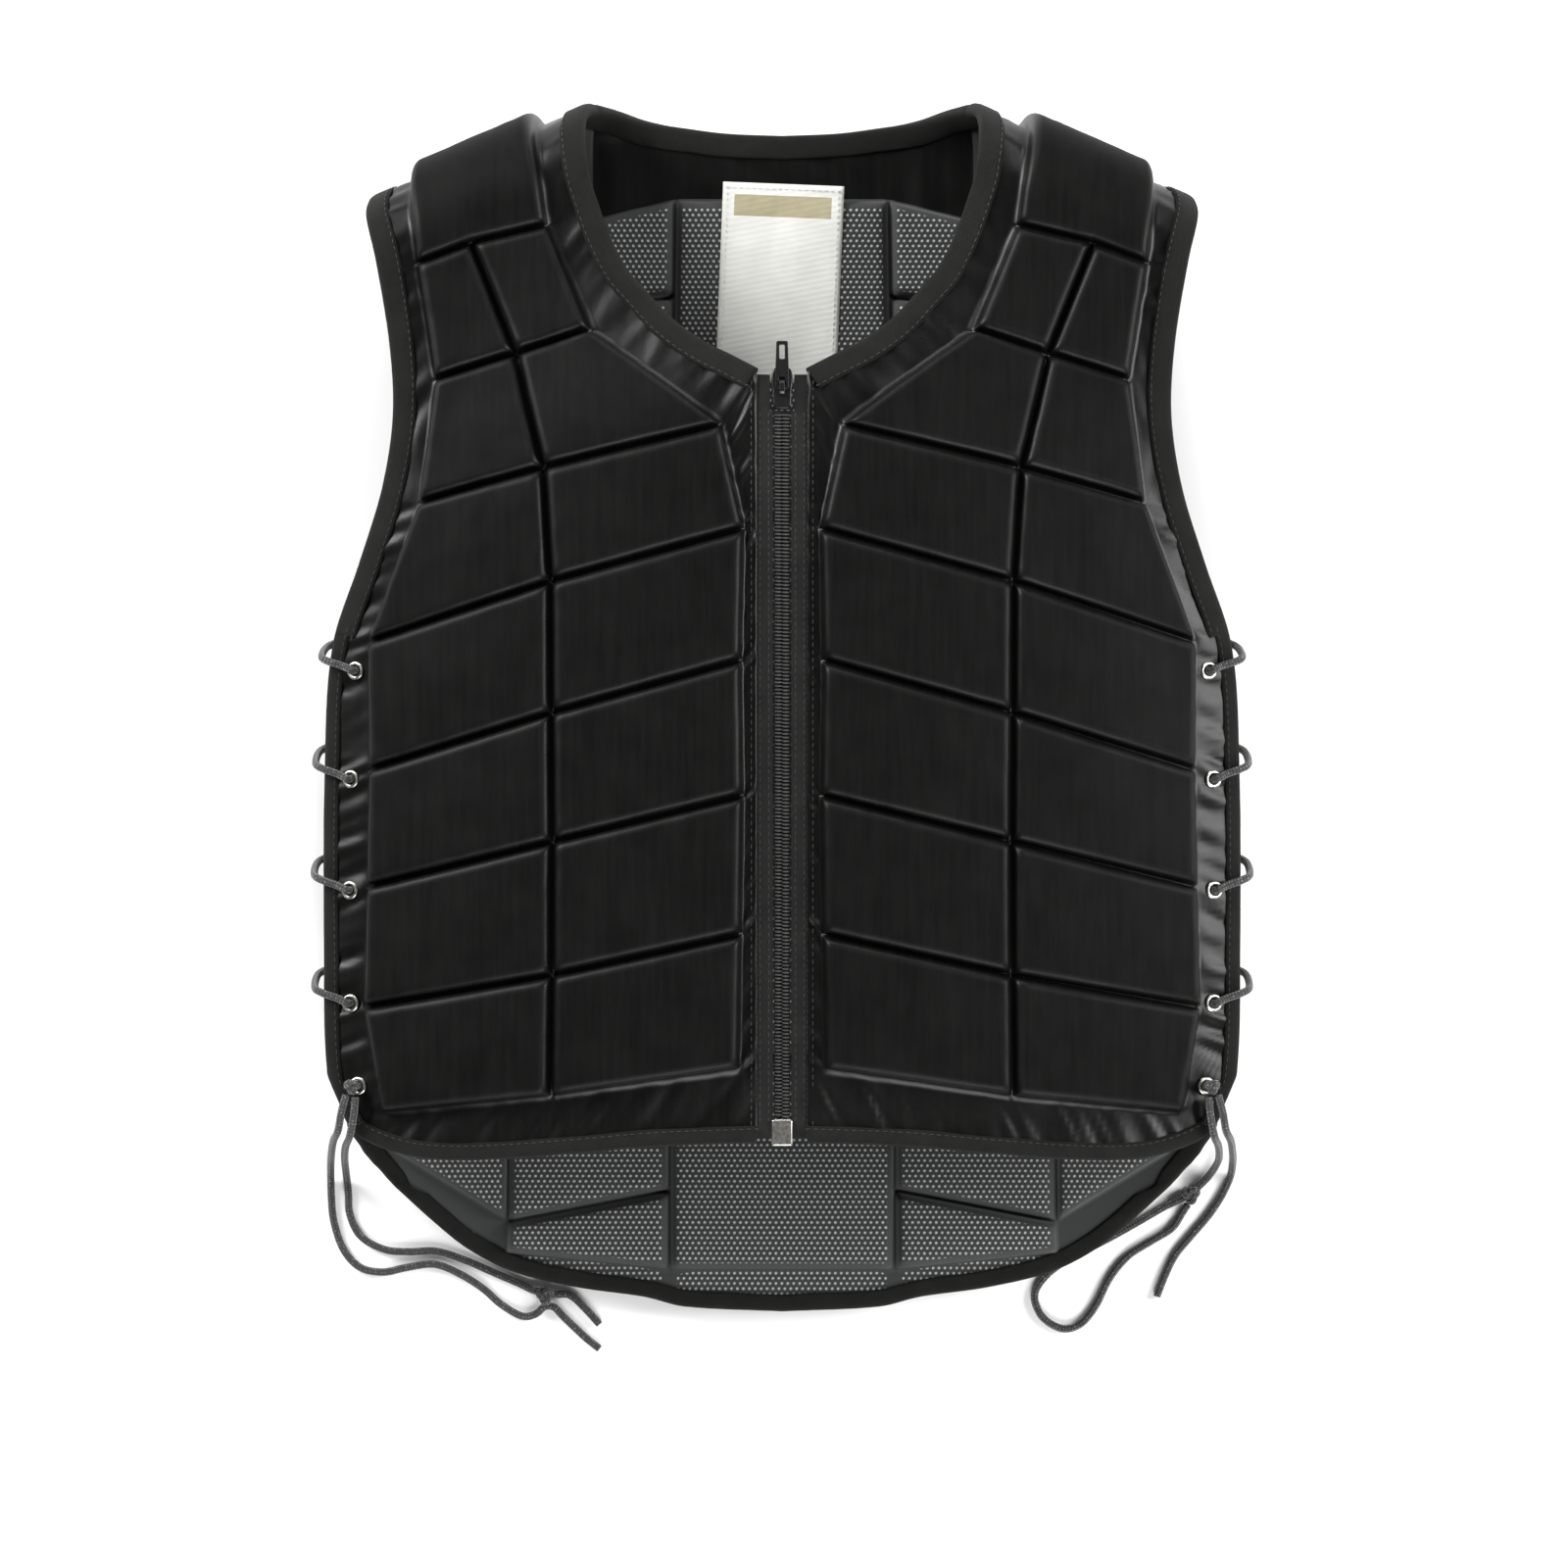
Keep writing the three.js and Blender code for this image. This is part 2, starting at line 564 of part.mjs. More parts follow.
const backEdge = (grid, sign, v) => {
  const row = grid[v];
  return sign > 0 ? edgeStop(-1, row[row.length - 1], row[row.length - 2]) : edgeStop(-1, row[0], row[1]);
};

const neckRows = frontHalf.map((_, v) => v)
  .filter((v) => v > 0 && frontHalf[v][0].p.y >= yOf(NECK_EDGE[0][0]) - 0.01);
const topRow = back[back.length - 1];
const neckColumns = topRow.map((_, u) => u).filter((u) => u > 5 && u < topRow.length - 6);
const neckPath = [
  ...neckRows.map((v) => neckOf(mirrored(frontHalf), v)),
  ...neckColumns.map((u) => edgeStop(-1, topRow[u], back[back.length - 2][u])),
  ...neckRows.map((v) => neckOf(frontHalf, v)).reverse(),
];
add('neck_binding', relieved(bindingGeometry(thinned(neckPath), NECK_BINDING)), TAPE_FINISH);

for (const { name, sign } of SIDES) {
  const frontGridHere = ON_SIDE[name](frontHalf);
  const front = rowsAbove(frontGridHere, ARMHOLE_FOOT).map((v) => edgeOf(1, frontGridHere, v));
  const behind = rowsAbove(back, ARMHOLE_FOOT).map((v) => backEdge(back, sign, v)).reverse().slice(1);
  const path = trimmed(thinned([...front, ...behind]));
  add(`armhole_binding_${name}`, relieved(bindingGeometry(path, NECK_BINDING)), TAPE_FINISH);
}

for (const { name } of SIDES) {
  const frontGridHere = ON_SIDE[name](frontHalf);
  const hemRow = frontGridHere[0];
  const hemPath = hemRow.slice(0, -1).map((spot, u) => edgeStop(1, spot, frontGridHere[1][u]));
  const last = hemRow.length - 1;
  const corner = edgeStop(1, hemRow[last], frontGridHere[1][last - 1]);
  const sidePath = rowsBelow(frontGridHere, ARMHOLE_FOOT).map((v) => edgeOf(1, frontGridHere, v));
  const join = edgeOf(1, frontGridHere, rowsAbove(frontGridHere, ARMHOLE_FOOT)[0]);
  add(`front_edge_binding_${name}`,
    bindingGeometry(trimmed(thinned([...hemPath, corner, ...sidePath, join])), SIDE_BINDING), TAPE_FINISH);
}

const backSidePath = (sign) => {
  const join = backEdge(back, sign, rowsAbove(back, ARMHOLE_FOOT)[0]);
  return [...rowsBelow(back, ARMHOLE_FOOT).map((v) => backEdge(back, sign, v)), join];
};
const backLast = back[0].length - 1;
const backHemPath = back[0].slice(1, -1).map((spot, k) => edgeStop(-1, spot, back[1][k + 1]));
const backCorner = (u, inner) => edgeStop(-1, back[0][u], back[1][inner]);
const backEdgePath = trimmed(thinned([
  ...backSidePath(-1).reverse(), backCorner(0, 1), ...backHemPath, backCorner(backLast, backLast - 1),
  ...backSidePath(1),
]));
add('back_edge_binding', relieved(bindingGeometry(backEdgePath, SIDE_BINDING)), TAPE_FINISH);

// Eyelets
for (const { name } of SIDES) {
  for (const face of ['front', 'back']) {
    eyelets[name][face].forEach((where, k) => {
      add(`eyelet_${face}_${name}_${k + 1}`, eyeletGeometry(where), NICKEL_FINISH);
    });
  }
}

// Zip: strips that follow the middle of the front, as stops of [s, from, to]
const ZIP_FOOT = 0.147;
const BOX_HEAD = 0.163;
const CHAIN_HEAD = 0.743;
const ZIP_HEAD = 0.772;

function strip(stops, thickness, lift = 0) {
  const rings = stops.map(([s, from, to]) => {
    const low = lift - thickness / 2;
    const high = lift + thickness / 2;
    const spot = (x, h) => place(1, vec2(x, yOf(s)), h);
    return [spot(from, low), spot(to, low), spot(to, high), spot(from, high)];
  });
  return loft(rings);
}

const zipStops = (from, to, inner, outer, count) => Array.from({ length: count + 1 }, (_, k) => (
  [mix(from, to, k / count), inner, outer]));
const tapeOuter = FRONT_GAP - GAP;
const tapeInner = CHAIN_WIDTH / 2 + GAP;
for (const { name, sign } of SIDES) {
  const stops = [
    ...zipStops(ZIP_FOOT, BOX_HEAD, BOX_WIDTH / 2 + GAP, tapeOuter, 1),
    ...zipStops(BOX_HEAD + 0.001, CHAIN_HEAD - 0.001, tapeInner, tapeOuter, 8),
    ...zipStops(CHAIN_HEAD, ZIP_HEAD, SLIDER_WIDTH / 2 + GAP, tapeOuter, 1),
  ].map(([s, inner, outer]) => [s, sign * inner, sign * outer]);
  add(`zip_tape_${name}`, strip(stops, ZIP_TAPE), TAPE_FINISH);
}
const chainGap = GAP / LENGTH;
const chainStops = zipStops(BOX_HEAD + chainGap, CHAIN_HEAD - chainGap, -CHAIN_WIDTH / 2, CHAIN_WIDTH / 2, 8);
add('zip_chain', strip(chainStops, CHAIN_THICKNESS), CHAIN_FINISH);
const boxStops = zipStops(BOX_HEAD - BOX_LENGTH / LENGTH, BOX_HEAD, -BOX_WIDTH / 2, BOX_WIDTH / 2, 1);
add('zip_box', strip(boxStops, BOX_THICKNESS), NICKEL_FINISH);

// Slider: a tapered body with an arched bridge. The pull is a slotted plate whose end bar lies
// under the bridge, and turns about that bar.
const SLIDER_MIDDLE = CHAIN_HEAD + (SLIDER_LENGTH / 2 + GAP) / LENGTH;
const SLIDER_LIFT = 0.3;
const BRIDGE_WALL = 1;
const PIN_RADIUS = 0.6;
const PIN_LIFT = PIN_RADIUS + GAP;
const BRIDGE_REACH = 3;
const PULL_SLOT = 4.4;
const PULL_ARM = (PULL_WIDTH - BRIDGE_WIDTH) / 2 - GAP - 0.05;
const PULL_EYE_WIDTH = 2.2;
const PULL_EYE_LENGTH = 6;

function boxSolid(width, length, height, x, y, z) {
  return solidOf(new THREE.BoxGeometry(width, length, height).translate(x, y, z));
}

const plan = new THREE.Shape([
  vec2(-SLIDER_WIDTH * 0.4, -SLIDER_LENGTH / 2), vec2(SLIDER_WIDTH * 0.4, -SLIDER_LENGTH / 2),
  vec2(SLIDER_WIDTH * 0.42, 0), vec2(SLIDER_WIDTH / 2, SLIDER_LENGTH * 0.25),
  vec2(SLIDER_WIDTH * 0.36, SLIDER_LENGTH / 2), vec2(-SLIDER_WIDTH * 0.36, SLIDER_LENGTH / 2),
  vec2(-SLIDER_WIDTH / 2, SLIDER_LENGTH * 0.25), vec2(-SLIDER_WIDTH * 0.42, 0),
]);
const bodyTop = SLIDER_THICKNESS / 2;
const bridgeTop = bodyTop + PIN_LIFT + PIN_RADIUS + GAP + BRIDGE_WALL;
const bridgeHeight = bridgeTop - bodyTop;
const sliderSolid = solidOf(new THREE.ExtrudeGeometry(plan, { depth: SLIDER_THICKNESS, bevelEnabled: false })
  .translate(0, 0, -bodyTop))
  .add(boxSolid(BRIDGE_WIDTH, 2 * BRIDGE_REACH, bridgeHeight, 0, 0, bodyTop + bridgeHeight / 2)
    .subtract(boxSolid(BRIDGE_WIDTH + 1, 2 * (BRIDGE_REACH - BRIDGE_WALL), 2 * (bridgeHeight - BRIDGE_WALL),
      0, 0, bodyTop)));

const pullPlate = boxSolid(PULL_WIDTH, PULL_LENGTH, PULL_THICKNESS, 0, PULL_LENGTH / 2 - PIN_RADIUS, 0)
  .subtract(boxSolid(PULL_WIDTH - 2 * PULL_ARM, PULL_SLOT - PIN_RADIUS, PULL_THICKNESS + 1,
    0, (PULL_SLOT + PIN_RADIUS) / 2, 0))
  .subtract(boxSolid(PULL_EYE_WIDTH, PULL_EYE_LENGTH, PULL_THICKNESS + 1,
    0, PULL_LENGTH - PIN_RADIUS - PULL_EYE_LENGTH / 2 - 1.6, 0));

const sliderSeat = place(1, vec2(0, yOf(SLIDER_MIDDLE)), SLIDER_LIFT);
const sliderTilt = new THREE.Group();
sliderTilt.position.copy(sliderSeat);
sliderTilt.rotation.x = Math.atan2(
  place(1, vec2(0, yOf(SLIDER_MIDDLE) + 5)).z - place(1, vec2(0, yOf(SLIDER_MIDDLE) - 5)).z, 10);
group.add(sliderTilt);
add('zip_slider', geometryFrom(sliderSolid), BLACK_METAL, sliderTilt);
const pull = add('zip_pull', geometryFrom(pullPlate), BLACK_METAL, sliderTilt);
pull.position.set(0, 0, bodyTop + PIN_LIFT);

// Size label, sewn inside the back below the neck
const LABEL_MIDDLE = vec2(-1, yOf(0.852));
const label = add('label', new THREE.BoxGeometry(LABEL_WIDTH, LABEL_LENGTH, LABEL_THICKNESS), LABEL_FINISH);
label.position.set(LABEL_MIDDLE.x, LABEL_MIDDLE.y, BLOCK + GAP + LABEL_THICKNESS / 2);
label.rotation.z = LABEL_TILT;

// Lacing: each stage leaves a front eyelet, bends round both side edges, enters the next back
// eyelet from outside, and crosses inside to the following front eyelet
const LACE_SIDES = 8;
const LACE_STEP = 14;

// A cord has a ring at each point of its route, and one between where they stand far apart
function cordGeometry(points) {
  const path = new THREE.CatmullRomCurve3(points, false, 'centripetal');
  const last = points.length - 1;
  const stops = points.slice(0, last).flatMap((p, k) => {
    const cuts = Math.ceil(p.distanceTo(points[k + 1]) / LACE_STEP);
    return Array.from({ length: cuts }, (_, c) => (k + c / cuts) / last);
  });
  const across = vec3(0.31, 0.17, 1);
  const rings = [...stops, 1].map((stop) => {
    const spot = path.getPoint(stop);
    const run = path.getTangent(stop);
    across.addScaledVector(run, -across.dot(run)).normalize();
    const rise = vec3().crossVectors(run, across);
    return Array.from({ length: LACE_SIDES }, (_, k) => {
      const angle = (2 * Math.PI * k) / LACE_SIDES;
      return spot.clone().addScaledVector(across, Math.cos(angle) * LACE / 2)
        .addScaledVector(rise, Math.sin(angle) * LACE / 2);
    });
  });
  return loft(rings);
}

const EDGE_CLEAR = CLOTH / 2 + GAP + BINDING_EASE + TAPE_WALL + LACE / 2 + 1.9;
const EDGE_OUT = TAPE_WALL + GAP + LACE / 2 + 2.3;

// Heights at which a lace passes an eyelet: straight through its wall, then on to either side
const THROUGH_STRAIGHT = CLOTH / 2 + GAP + EYELET_RIM + 0.2;
const THROUGH_OVER = 5;
const THROUGH_UNDER = 5.4;
const THROUGH = [-THROUGH_UNDER, -THROUGH_STRAIGHT, THROUGH_STRAIGHT, THROUGH_OVER];

// Stops of a lace round the side: the share of the way to the back eyelet, the reach past the
// edge in shares of EDGE_OUT, and the height over the front edge or under the back edge
const WRAP = [
  { side: 1, share: 0.12, reach: -0.8, lift: 1.14 },
  { side: 1, share: 0.25, reach: 0.4, lift: 1 },
  { side: 1, share: 0.38, reach: 1.05, lift: 0.2 },
  { side: -1, share: 0.66, reach: 1.05, lift: -0.2 },
  { side: -1, share: 0.8, reach: 0.35, lift: -0.95 },
  { side: -1, share: 0.9, reach: -0.8, lift: -1.05 },
];

function lacingPoints(sign, { front, back: behind }) {
  const points = [];
  const through = (where, lift) => where.spot.clone().addScaledVector(where.axis, lift);
  front.forEach((here, k) => {
    points.push(...THROUGH.map((lift) => through(here, lift)));
    if (k === front.length - 1) return;
    const down = behind[k];
    const next = front[k + 1];
    for (const { side, share, reach, lift } of WRAP) {
      const y = mix(here.spot.y, down.spot.y, share);
      const x = sideAt(sOf(y)).x;
      const edge = place(side, vec2(sign * x, y));
      points.push(vec3(sign * (x + reach * EDGE_OUT), y, edge.z + lift * EDGE_CLEAR));
    }
    points.push(...THROUGH.map((lift) => through(down, lift)).reverse());
    points.push(down.spot.clone().lerp(next.spot, 0.5));
  });
  return points;
}
for (const { name, sign } of SIDES) {
  add(`lacing_${name}`, cordGeometry(lacingPoints(sign, eyelets[name])), LACE_FINISH);
}

// Bows: the free ends of the two laces, which drop over the hem corners and lie on the floor.
// Chosen points of each route, drawn on a vest of the size below and moved with its hem corners.
const DRAWN_HALF_WIDTH = 190;
const DRAWN_LENGTH = 508;
const atCorner = ([x, y, z]) => vec3(
  x + Math.sign(x) * (HALF_WIDTH - DRAWN_HALF_WIDTH), (y * LENGTH) / DRAWN_LENGTH, z);
const BOW_ROUTES = {
  bow_right_outer: [
    [-182.1, -161.8, 61], [-184, -168.7, 60], [-185.5, -176.5, 57], [-187.8, -181, 46],
    [-189.2, -186, 30], [-190.2, -191, 12],
    [-190.6, -198.6, 2.6], [-190.4, -207.3, 1.7], [-189.3, -217.1, 1.7], [-185.3, -228.6, 1.7],
    [-178.3, -236, 1.7], [-168.5, -238, 1.7], [-158.3, -236, 1.7], [-146.8, -234.7, 1.7],
    [-136.1, -238.8, 1.7], [-126.3, -245, 1.7], [-118.9, -251.5, 1.7], [-109.9, -256.6, 1.7],
    [-103.2, -256.4, 1.8], [-101.3, -252.1, 2.6],
  ],
  bow_right_inner: [
    [-178.2, -162.6, 61], [-178.8, -169.6, 60.5], [-180.6, -178.9, 57.2], [-182.6, -183, 45],
    [-183.7, -187, 30],
    [-184.2, -191.5, 14], [-183.8, -199, 2.8], [-183.2, -205.6, 1.7], [-182.6, -213.8, 1.7],
    [-178.1, -222.8, 1.7], [-168.1, -228.4, 1.7], [-157.4, -229.4, 1.7], [-146, -229.2, 1.7],
    [-133.7, -233.1, 1.7], [-121.4, -238.4, 1.7], [-110.7, -243, 1.7], [-104, -246, 2.6],
  ],
  bow_right_tail_long: [
    [-97.2, -251.2, 2.6], [-93.2, -256, 1.7], [-88.1, -261, 1.7], [-82.8, -265.9, 1.7],
    [-77.1, -270.4, 1.7],
  ],
  bow_right_tail_short: [
    [-95.6, -247.4, 2.6], [-89.6, -247.8, 1.7], [-83.2, -253.4, 1.7], [-77.1, -260.1, 1.7],
  ],
  bow_left_tail: [
    [182.1, -161.8, 61], [184, -168.7, 60], [185.5, -176.5, 57], [187.8, -181, 46],
    [189.2, -186, 30], [190, -191, 12],
    [189.4, -197.4, 2.6], [185.9, -205.4, 1.7], [180.4, -213.8, 1.7], [173.6, -221.8, 1.7],
    [166, -231, 1.7], [161.5, -240.1, 1.7], [158.3, -248.3, 1.7],
  ],
  bow_left_strand: [
    [178.2, -162.6, 61], [178.8, -169.6, 60.5], [180.6, -178.9, 57.2], [182.6, -183, 45], [183.6, -187, 30],
    [183.6, -191, 15], [180.6, -196.8, 3.6], [175.6, -202.1, 2.8],
  ],
  bow_left_loop: [
    [168.7, -206.9, 2.6], [161.5, -210.4, 1.7], [151.2, -216.4, 1.7], [140.2, -222.6, 1.7],
    [128.7, -228.6, 1.7], [118.1, -234.3, 1.7], [110.3, -240.9, 1.7], [106.6, -248.3, 1.7],
    [109.9, -256.9, 1.7], [118.1, -261.8, 1.7], [125.9, -260.1, 1.7], [132.4, -252.4, 1.7],
    [138.2, -240.9, 1.7], [146, -231.4, 1.7], [155.8, -225, 1.7], [164.6, -219.6, 1.7],
    [168.8, -213.4, 1.7], [171.3, -209.4, 2.6],
  ],
};
const FLOOR_KNOTS = { bow_knot_right: [-100, -247.8, 4.2], bow_knot_left: [172.6, -205.2, 4.2] };
const SIDE_KNOT = 3.2;

for (const [name, route] of Object.entries(BOW_ROUTES)) {
  add(name, cordGeometry(route.map(atCorner)), LACE_FINISH);
}
for (const [name, p] of Object.entries(FLOOR_KNOTS)) {
  add(name, new THREE.IcosahedronGeometry(KNOT, 1), LACE_FINISH).position.copy(atCorner(p));
}
for (const { name } of SIDES) {
  const last = eyelets[name].front[EYELET_SHARES.length - 1];
  const knot = add(`side_knot_${name}`, new THREE.IcosahedronGeometry(SIDE_KNOT, 1), LACE_FINISH);
  knot.position.copy(last.spot).addScaledVector(last.axis, THROUGH_OVER + GAP + SIDE_KNOT);
}

export default group;
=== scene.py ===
import math

import bmesh
import bpy
import numpy as np
from mathutils import Matrix, Vector, noise


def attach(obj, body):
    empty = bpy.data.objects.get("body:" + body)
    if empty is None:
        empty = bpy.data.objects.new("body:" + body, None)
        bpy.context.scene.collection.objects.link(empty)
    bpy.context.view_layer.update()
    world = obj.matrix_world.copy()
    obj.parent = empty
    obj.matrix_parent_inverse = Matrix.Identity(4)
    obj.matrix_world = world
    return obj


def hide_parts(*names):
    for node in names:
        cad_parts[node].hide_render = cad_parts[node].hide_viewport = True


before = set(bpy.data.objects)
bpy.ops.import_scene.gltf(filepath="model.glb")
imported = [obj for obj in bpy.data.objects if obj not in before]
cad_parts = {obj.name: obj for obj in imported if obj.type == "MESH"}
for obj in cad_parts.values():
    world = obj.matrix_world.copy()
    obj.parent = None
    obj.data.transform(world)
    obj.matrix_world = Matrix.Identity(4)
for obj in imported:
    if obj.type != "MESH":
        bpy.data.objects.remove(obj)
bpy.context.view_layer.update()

# Camera, straight above, far off with a long lens. The photograph shows 0.41 mm to a pixel, and
# its middle lies a little below the vest's.
PHOTO_WIDTH = 0.656
PHOTO_CENTRE = (0.0008, -0.0318)
CAMERA_HEIGHT = 5.0
MIDDLE_LAYER = 0.05
lens = bpy.data.cameras.new("camera")
lens.sensor_width = 36
lens.lens = lens.sensor_width * (CAMERA_HEIGHT - MIDDLE_LAYER) / PHOTO_WIDTH
lens.clip_end = 50
camera = bpy.data.objects.new("camera", lens)
camera.location = (*PHOTO_CENTRE, CAMERA_HEIGHT)
bpy.context.scene.collection.objects.link(camera)
bpy.context.scene.camera = camera

# The lace, a round braided cord of black polyester with a fine grey fleck. Its free ends drop
# over the hem corners and lie on the floor, where each side is tied in a loose knot.
LACE = 0.0032
LACE_BLACK = (0.011, 0.011, 0.012)
LACE_GREY = (0.17, 0.17, 0.165)
PLAITS_AROUND = 8
PLAIT_LENGTH = 0.0026


def link(nodes, kind, links, out=0, **inputs):
    """Adds a node, sets its plain inputs, and joins the given sockets to it."""
    node = nodes.nodes.new(kind)
    for name, value in inputs.items():
        setattr(node, name, value)
    for name, value in links.items():
        socket = node.inputs[name]
        if isinstance(value, bpy.types.NodeSocket):
            nodes.links.new(value, socket)
        else:
            socket.default_value = value
    return node.outputs[out]


def sums(nodes, operation, a, b=0.0):
    return link(nodes, "ShaderNodeMath", {0: a, 1: b}, operation=operation)


def finish_named(name, **constants):
    """A material with its Principled shader, whose constants stand on the shader's own sockets."""
    material = bpy.data.materials.new(name)
    material.use_nodes = True
    nodes = material.node_tree
    shader = nodes.nodes["Principled BSDF"]
    for key, value in constants.items():
        shader.inputs[key.replace("_", " ")].default_value = value
    return material, nodes, shader


def tinted(nodes, factor, dark, light):
    return link(nodes, "ShaderNodeMix", {0: factor, 6: (*dark, 1), 7: (*light, 1)}, 2, data_type="RGBA")


def relief(nodes, shader, height, depth, strength=1.0):
    bump = link(nodes, "ShaderNodeBump", {"Height": height, "Distance": depth, "Strength": strength})
    nodes.links.new(bump, shader.inputs["Normal"])


def coordinate(nodes, kind="Object"):
    return link(nodes, "ShaderNodeTexCoord", {}, {"Object": 3, "UV": 2}[kind])


def split(nodes, vector):
    node = nodes.nodes.new("ShaderNodeSeparateXYZ")
    nodes.links.new(vector, node.inputs[0])
    return node.outputs[0], node.outputs[1], node.outputs[2]


def braid_material():
    """Two sets of yarns that cross on the slant, with a fleck where one set turns over."""
    material, nodes, shader = finish_named("braided_lace", Roughness=0.72, Sheen_Weight=0.25)
    run, turn, _ = split(nodes, coordinate(nodes, "UV"))
    along_cord = sums(nodes, "MULTIPLY", run, 2 * math.pi / PLAIT_LENGTH)
    around = sums(nodes, "MULTIPLY", turn, 2 * math.pi * PLAITS_AROUND / 2)
    left = sums(nodes, "SINE", sums(nodes, "ADD", along_cord, around))
    right = sums(nodes, "SINE", sums(nodes, "SUBTRACT", along_cord, around))
    cross = sums(nodes, "MULTIPLY", left, right)
    lift = sums(nodes, "MULTIPLY_ADD", cross, 0.5)
    lift.node.inputs[2].default_value = 0.5
    fleck = link(nodes, "ShaderNodeTexNoise", {"Vector": coordinate(nodes), "Scale": 900.0, "Detail": 2.0})
    flecked = sums(nodes, "GREATER_THAN", fleck, 0.56)
    spot = sums(nodes, "MULTIPLY", flecked, sums(nodes, "MAXIMUM", cross, 0.0))
    nodes.links.new(tinted(nodes, spot, LACE_BLACK, LACE_GREY), shader.inputs["Base Color"])
    relief(nodes, shader, lift, 0.0005)
    return material


def piece_of(name, vertices, faces, material, uvs=None):
    """A new object at the origin, smooth, with one UV place for each vertex where they are given."""
    mesh = bpy.data.meshes.new(name)
    mesh.from_pydata([tuple(map(float, v)) for v in vertices], [], [tuple(map(int, f)) for f in faces])
    mesh.polygons.foreach_set("use_smooth", [True] * len(mesh.polygons))
    if uvs is not None:
        layer = mesh.uv_layers.new(name="pattern")
        corner = np.zeros(len(mesh.loops), dtype=np.int32)
        mesh.loops.foreach_get("vertex_index", corner)
        layer.data.foreach_set("uv", np.asarray(uvs, dtype=np.float32)[corner].ravel())
    mesh.materials.append(material)
    mesh.update()
    piece = bpy.data.objects.new(name, mesh)
    bpy.context.scene.collection.objects.link(piece)
    return piece


def smooth_route(points, step):
    """A Catmull-Rom curve through given points, sampled evenly."""
    points = np.asarray(points, dtype=float)
    ends = np.vstack([2 * points[0] - points[1], points, 2 * points[-1] - points[-2]])
    fine = []
    for k in range(len(points) - 1):
        p0, p1, p2, p3 = ends[k:k + 4]
        for t in np.linspace(0, 1, 12, endpoint=False):
            fine.append(0.5 * (2 * p1 + (p2 - p0) * t + (2 * p0 - 5 * p1 + 4 * p2 - p3) * t ** 2
                               + (3 * p1 - p0 - 3 * p2 + p3) * t ** 3))
    fine.append(points[-1])
    return evenly(np.array(fine), step)


def evenly(path, step):
    reach = np.concatenate([[0], np.cumsum(np.linalg.norm(np.diff(path, axis=0), axis=1))])
    count = max(int(round(reach[-1] / step)), 2)
    stops = np.linspace(0, reach[-1], count + 1)
    return np.column_stack([np.interp(stops, reach, path[:, axis]) for axis in range(3)])


def tube(name, path, diameter, material, sides=12):
    """A closed round tube along a path, with u along it in metres and v once around."""
    run = np.gradient(path, axis=0)
    run /= np.linalg.norm(run, axis=1)[:, None]
    across = np.cross(run[0], (0.1, 0.2, 1.0))
    across /= np.linalg.norm(across)
    reach = np.concatenate([[0], np.cumsum(np.linalg.norm(np.diff(path, axis=0), axis=1))])
    angles = 2 * np.pi * np.arange(sides + 1) / sides
    vertices, uvs = [], []
    for k, centre in enumerate(path):
        across = across - run[k] * across.dot(run[k])
        across /= np.linalg.norm(across)
        rise = np.cross(run[k], across)
        for angle in angles:
            vertices.append(centre + diameter / 2 * (math.cos(angle) * across + math.sin(angle) * rise))
            uvs.append((reach[k], angle / (2 * np.pi)))
    faces = []
    for k in range(len(path) - 1):
        for i in range(sides):
            a = k * (sides + 1) + i
            faces.append((a, a + 1, a + sides + 2, a + sides + 1))
    for k, turn in ((0, -1), (len(path) - 1, 1)):
        ring = [k * (sides + 1) + i for i in range(sides)]
        faces.append(tuple(ring[::turn]))
    return piece_of(name, vertices, faces, material, uvs)


braid = braid_material()

# Places of the lace's free ends, over the hem corner, down, and along the floor
RIGHT_OUTER = [
    (-0.1821, -0.1618, 0.061), (-0.184, -0.1687, 0.06), (-0.1855, -0.1765, 0.057), (-0.1878, -0.181, 0.046),
    (-0.1892, -0.186, 0.03), (-0.1902, -0.191, 0.012), (-0.1906, -0.1986, 0.0026), (-0.1904, -0.2073, 0.0017),
    (-0.1893, -0.2171, 0.0017), (-0.1853, -0.2286, 0.0017), (-0.1783, -0.236, 0.0017),
    (-0.1685, -0.238, 0.0017), (-0.1583, -0.236, 0.0017), (-0.1468, -0.2347, 0.0017),
    (-0.1361, -0.2388, 0.0017), (-0.1263, -0.245, 0.0017), (-0.1189, -0.2515, 0.0017),
    (-0.1099, -0.2566, 0.0017), (-0.1038, -0.2556, 0.0018), (-0.1006, -0.2527, 0.0026),
    (-0.0966, -0.2526, 0.0026), (-0.0932, -0.256, 0.0017), (-0.0881, -0.261, 0.0017),
    (-0.0828, -0.2659, 0.0017), (-0.0771, -0.2704, 0.0017),
]
RIGHT_INNER = [
    (-0.1782, -0.1626, 0.061), (-0.1788, -0.1696, 0.0605), (-0.1806, -0.1789, 0.0572),
    (-0.1826, -0.183, 0.045), (-0.1837, -0.187, 0.03), (-0.1842, -0.1915, 0.014), (-0.1838, -0.199, 0.0028),
    (-0.1832, -0.2056, 0.0017), (-0.1826, -0.2138, 0.0017), (-0.1781, -0.2228, 0.0017),
    (-0.1681, -0.2284, 0.0017), (-0.1574, -0.2294, 0.0017), (-0.146, -0.2292, 0.0017),
    (-0.1337, -0.2331, 0.0017), (-0.1214, -0.2384, 0.0017), (-0.1107, -0.243, 0.0017),
    (-0.104, -0.246, 0.0026), (-0.0956, -0.2474, 0.0026), (-0.0896, -0.2478, 0.0017),
    (-0.0832, -0.2534, 0.0017), (-0.0771, -0.2601, 0.0017),
]
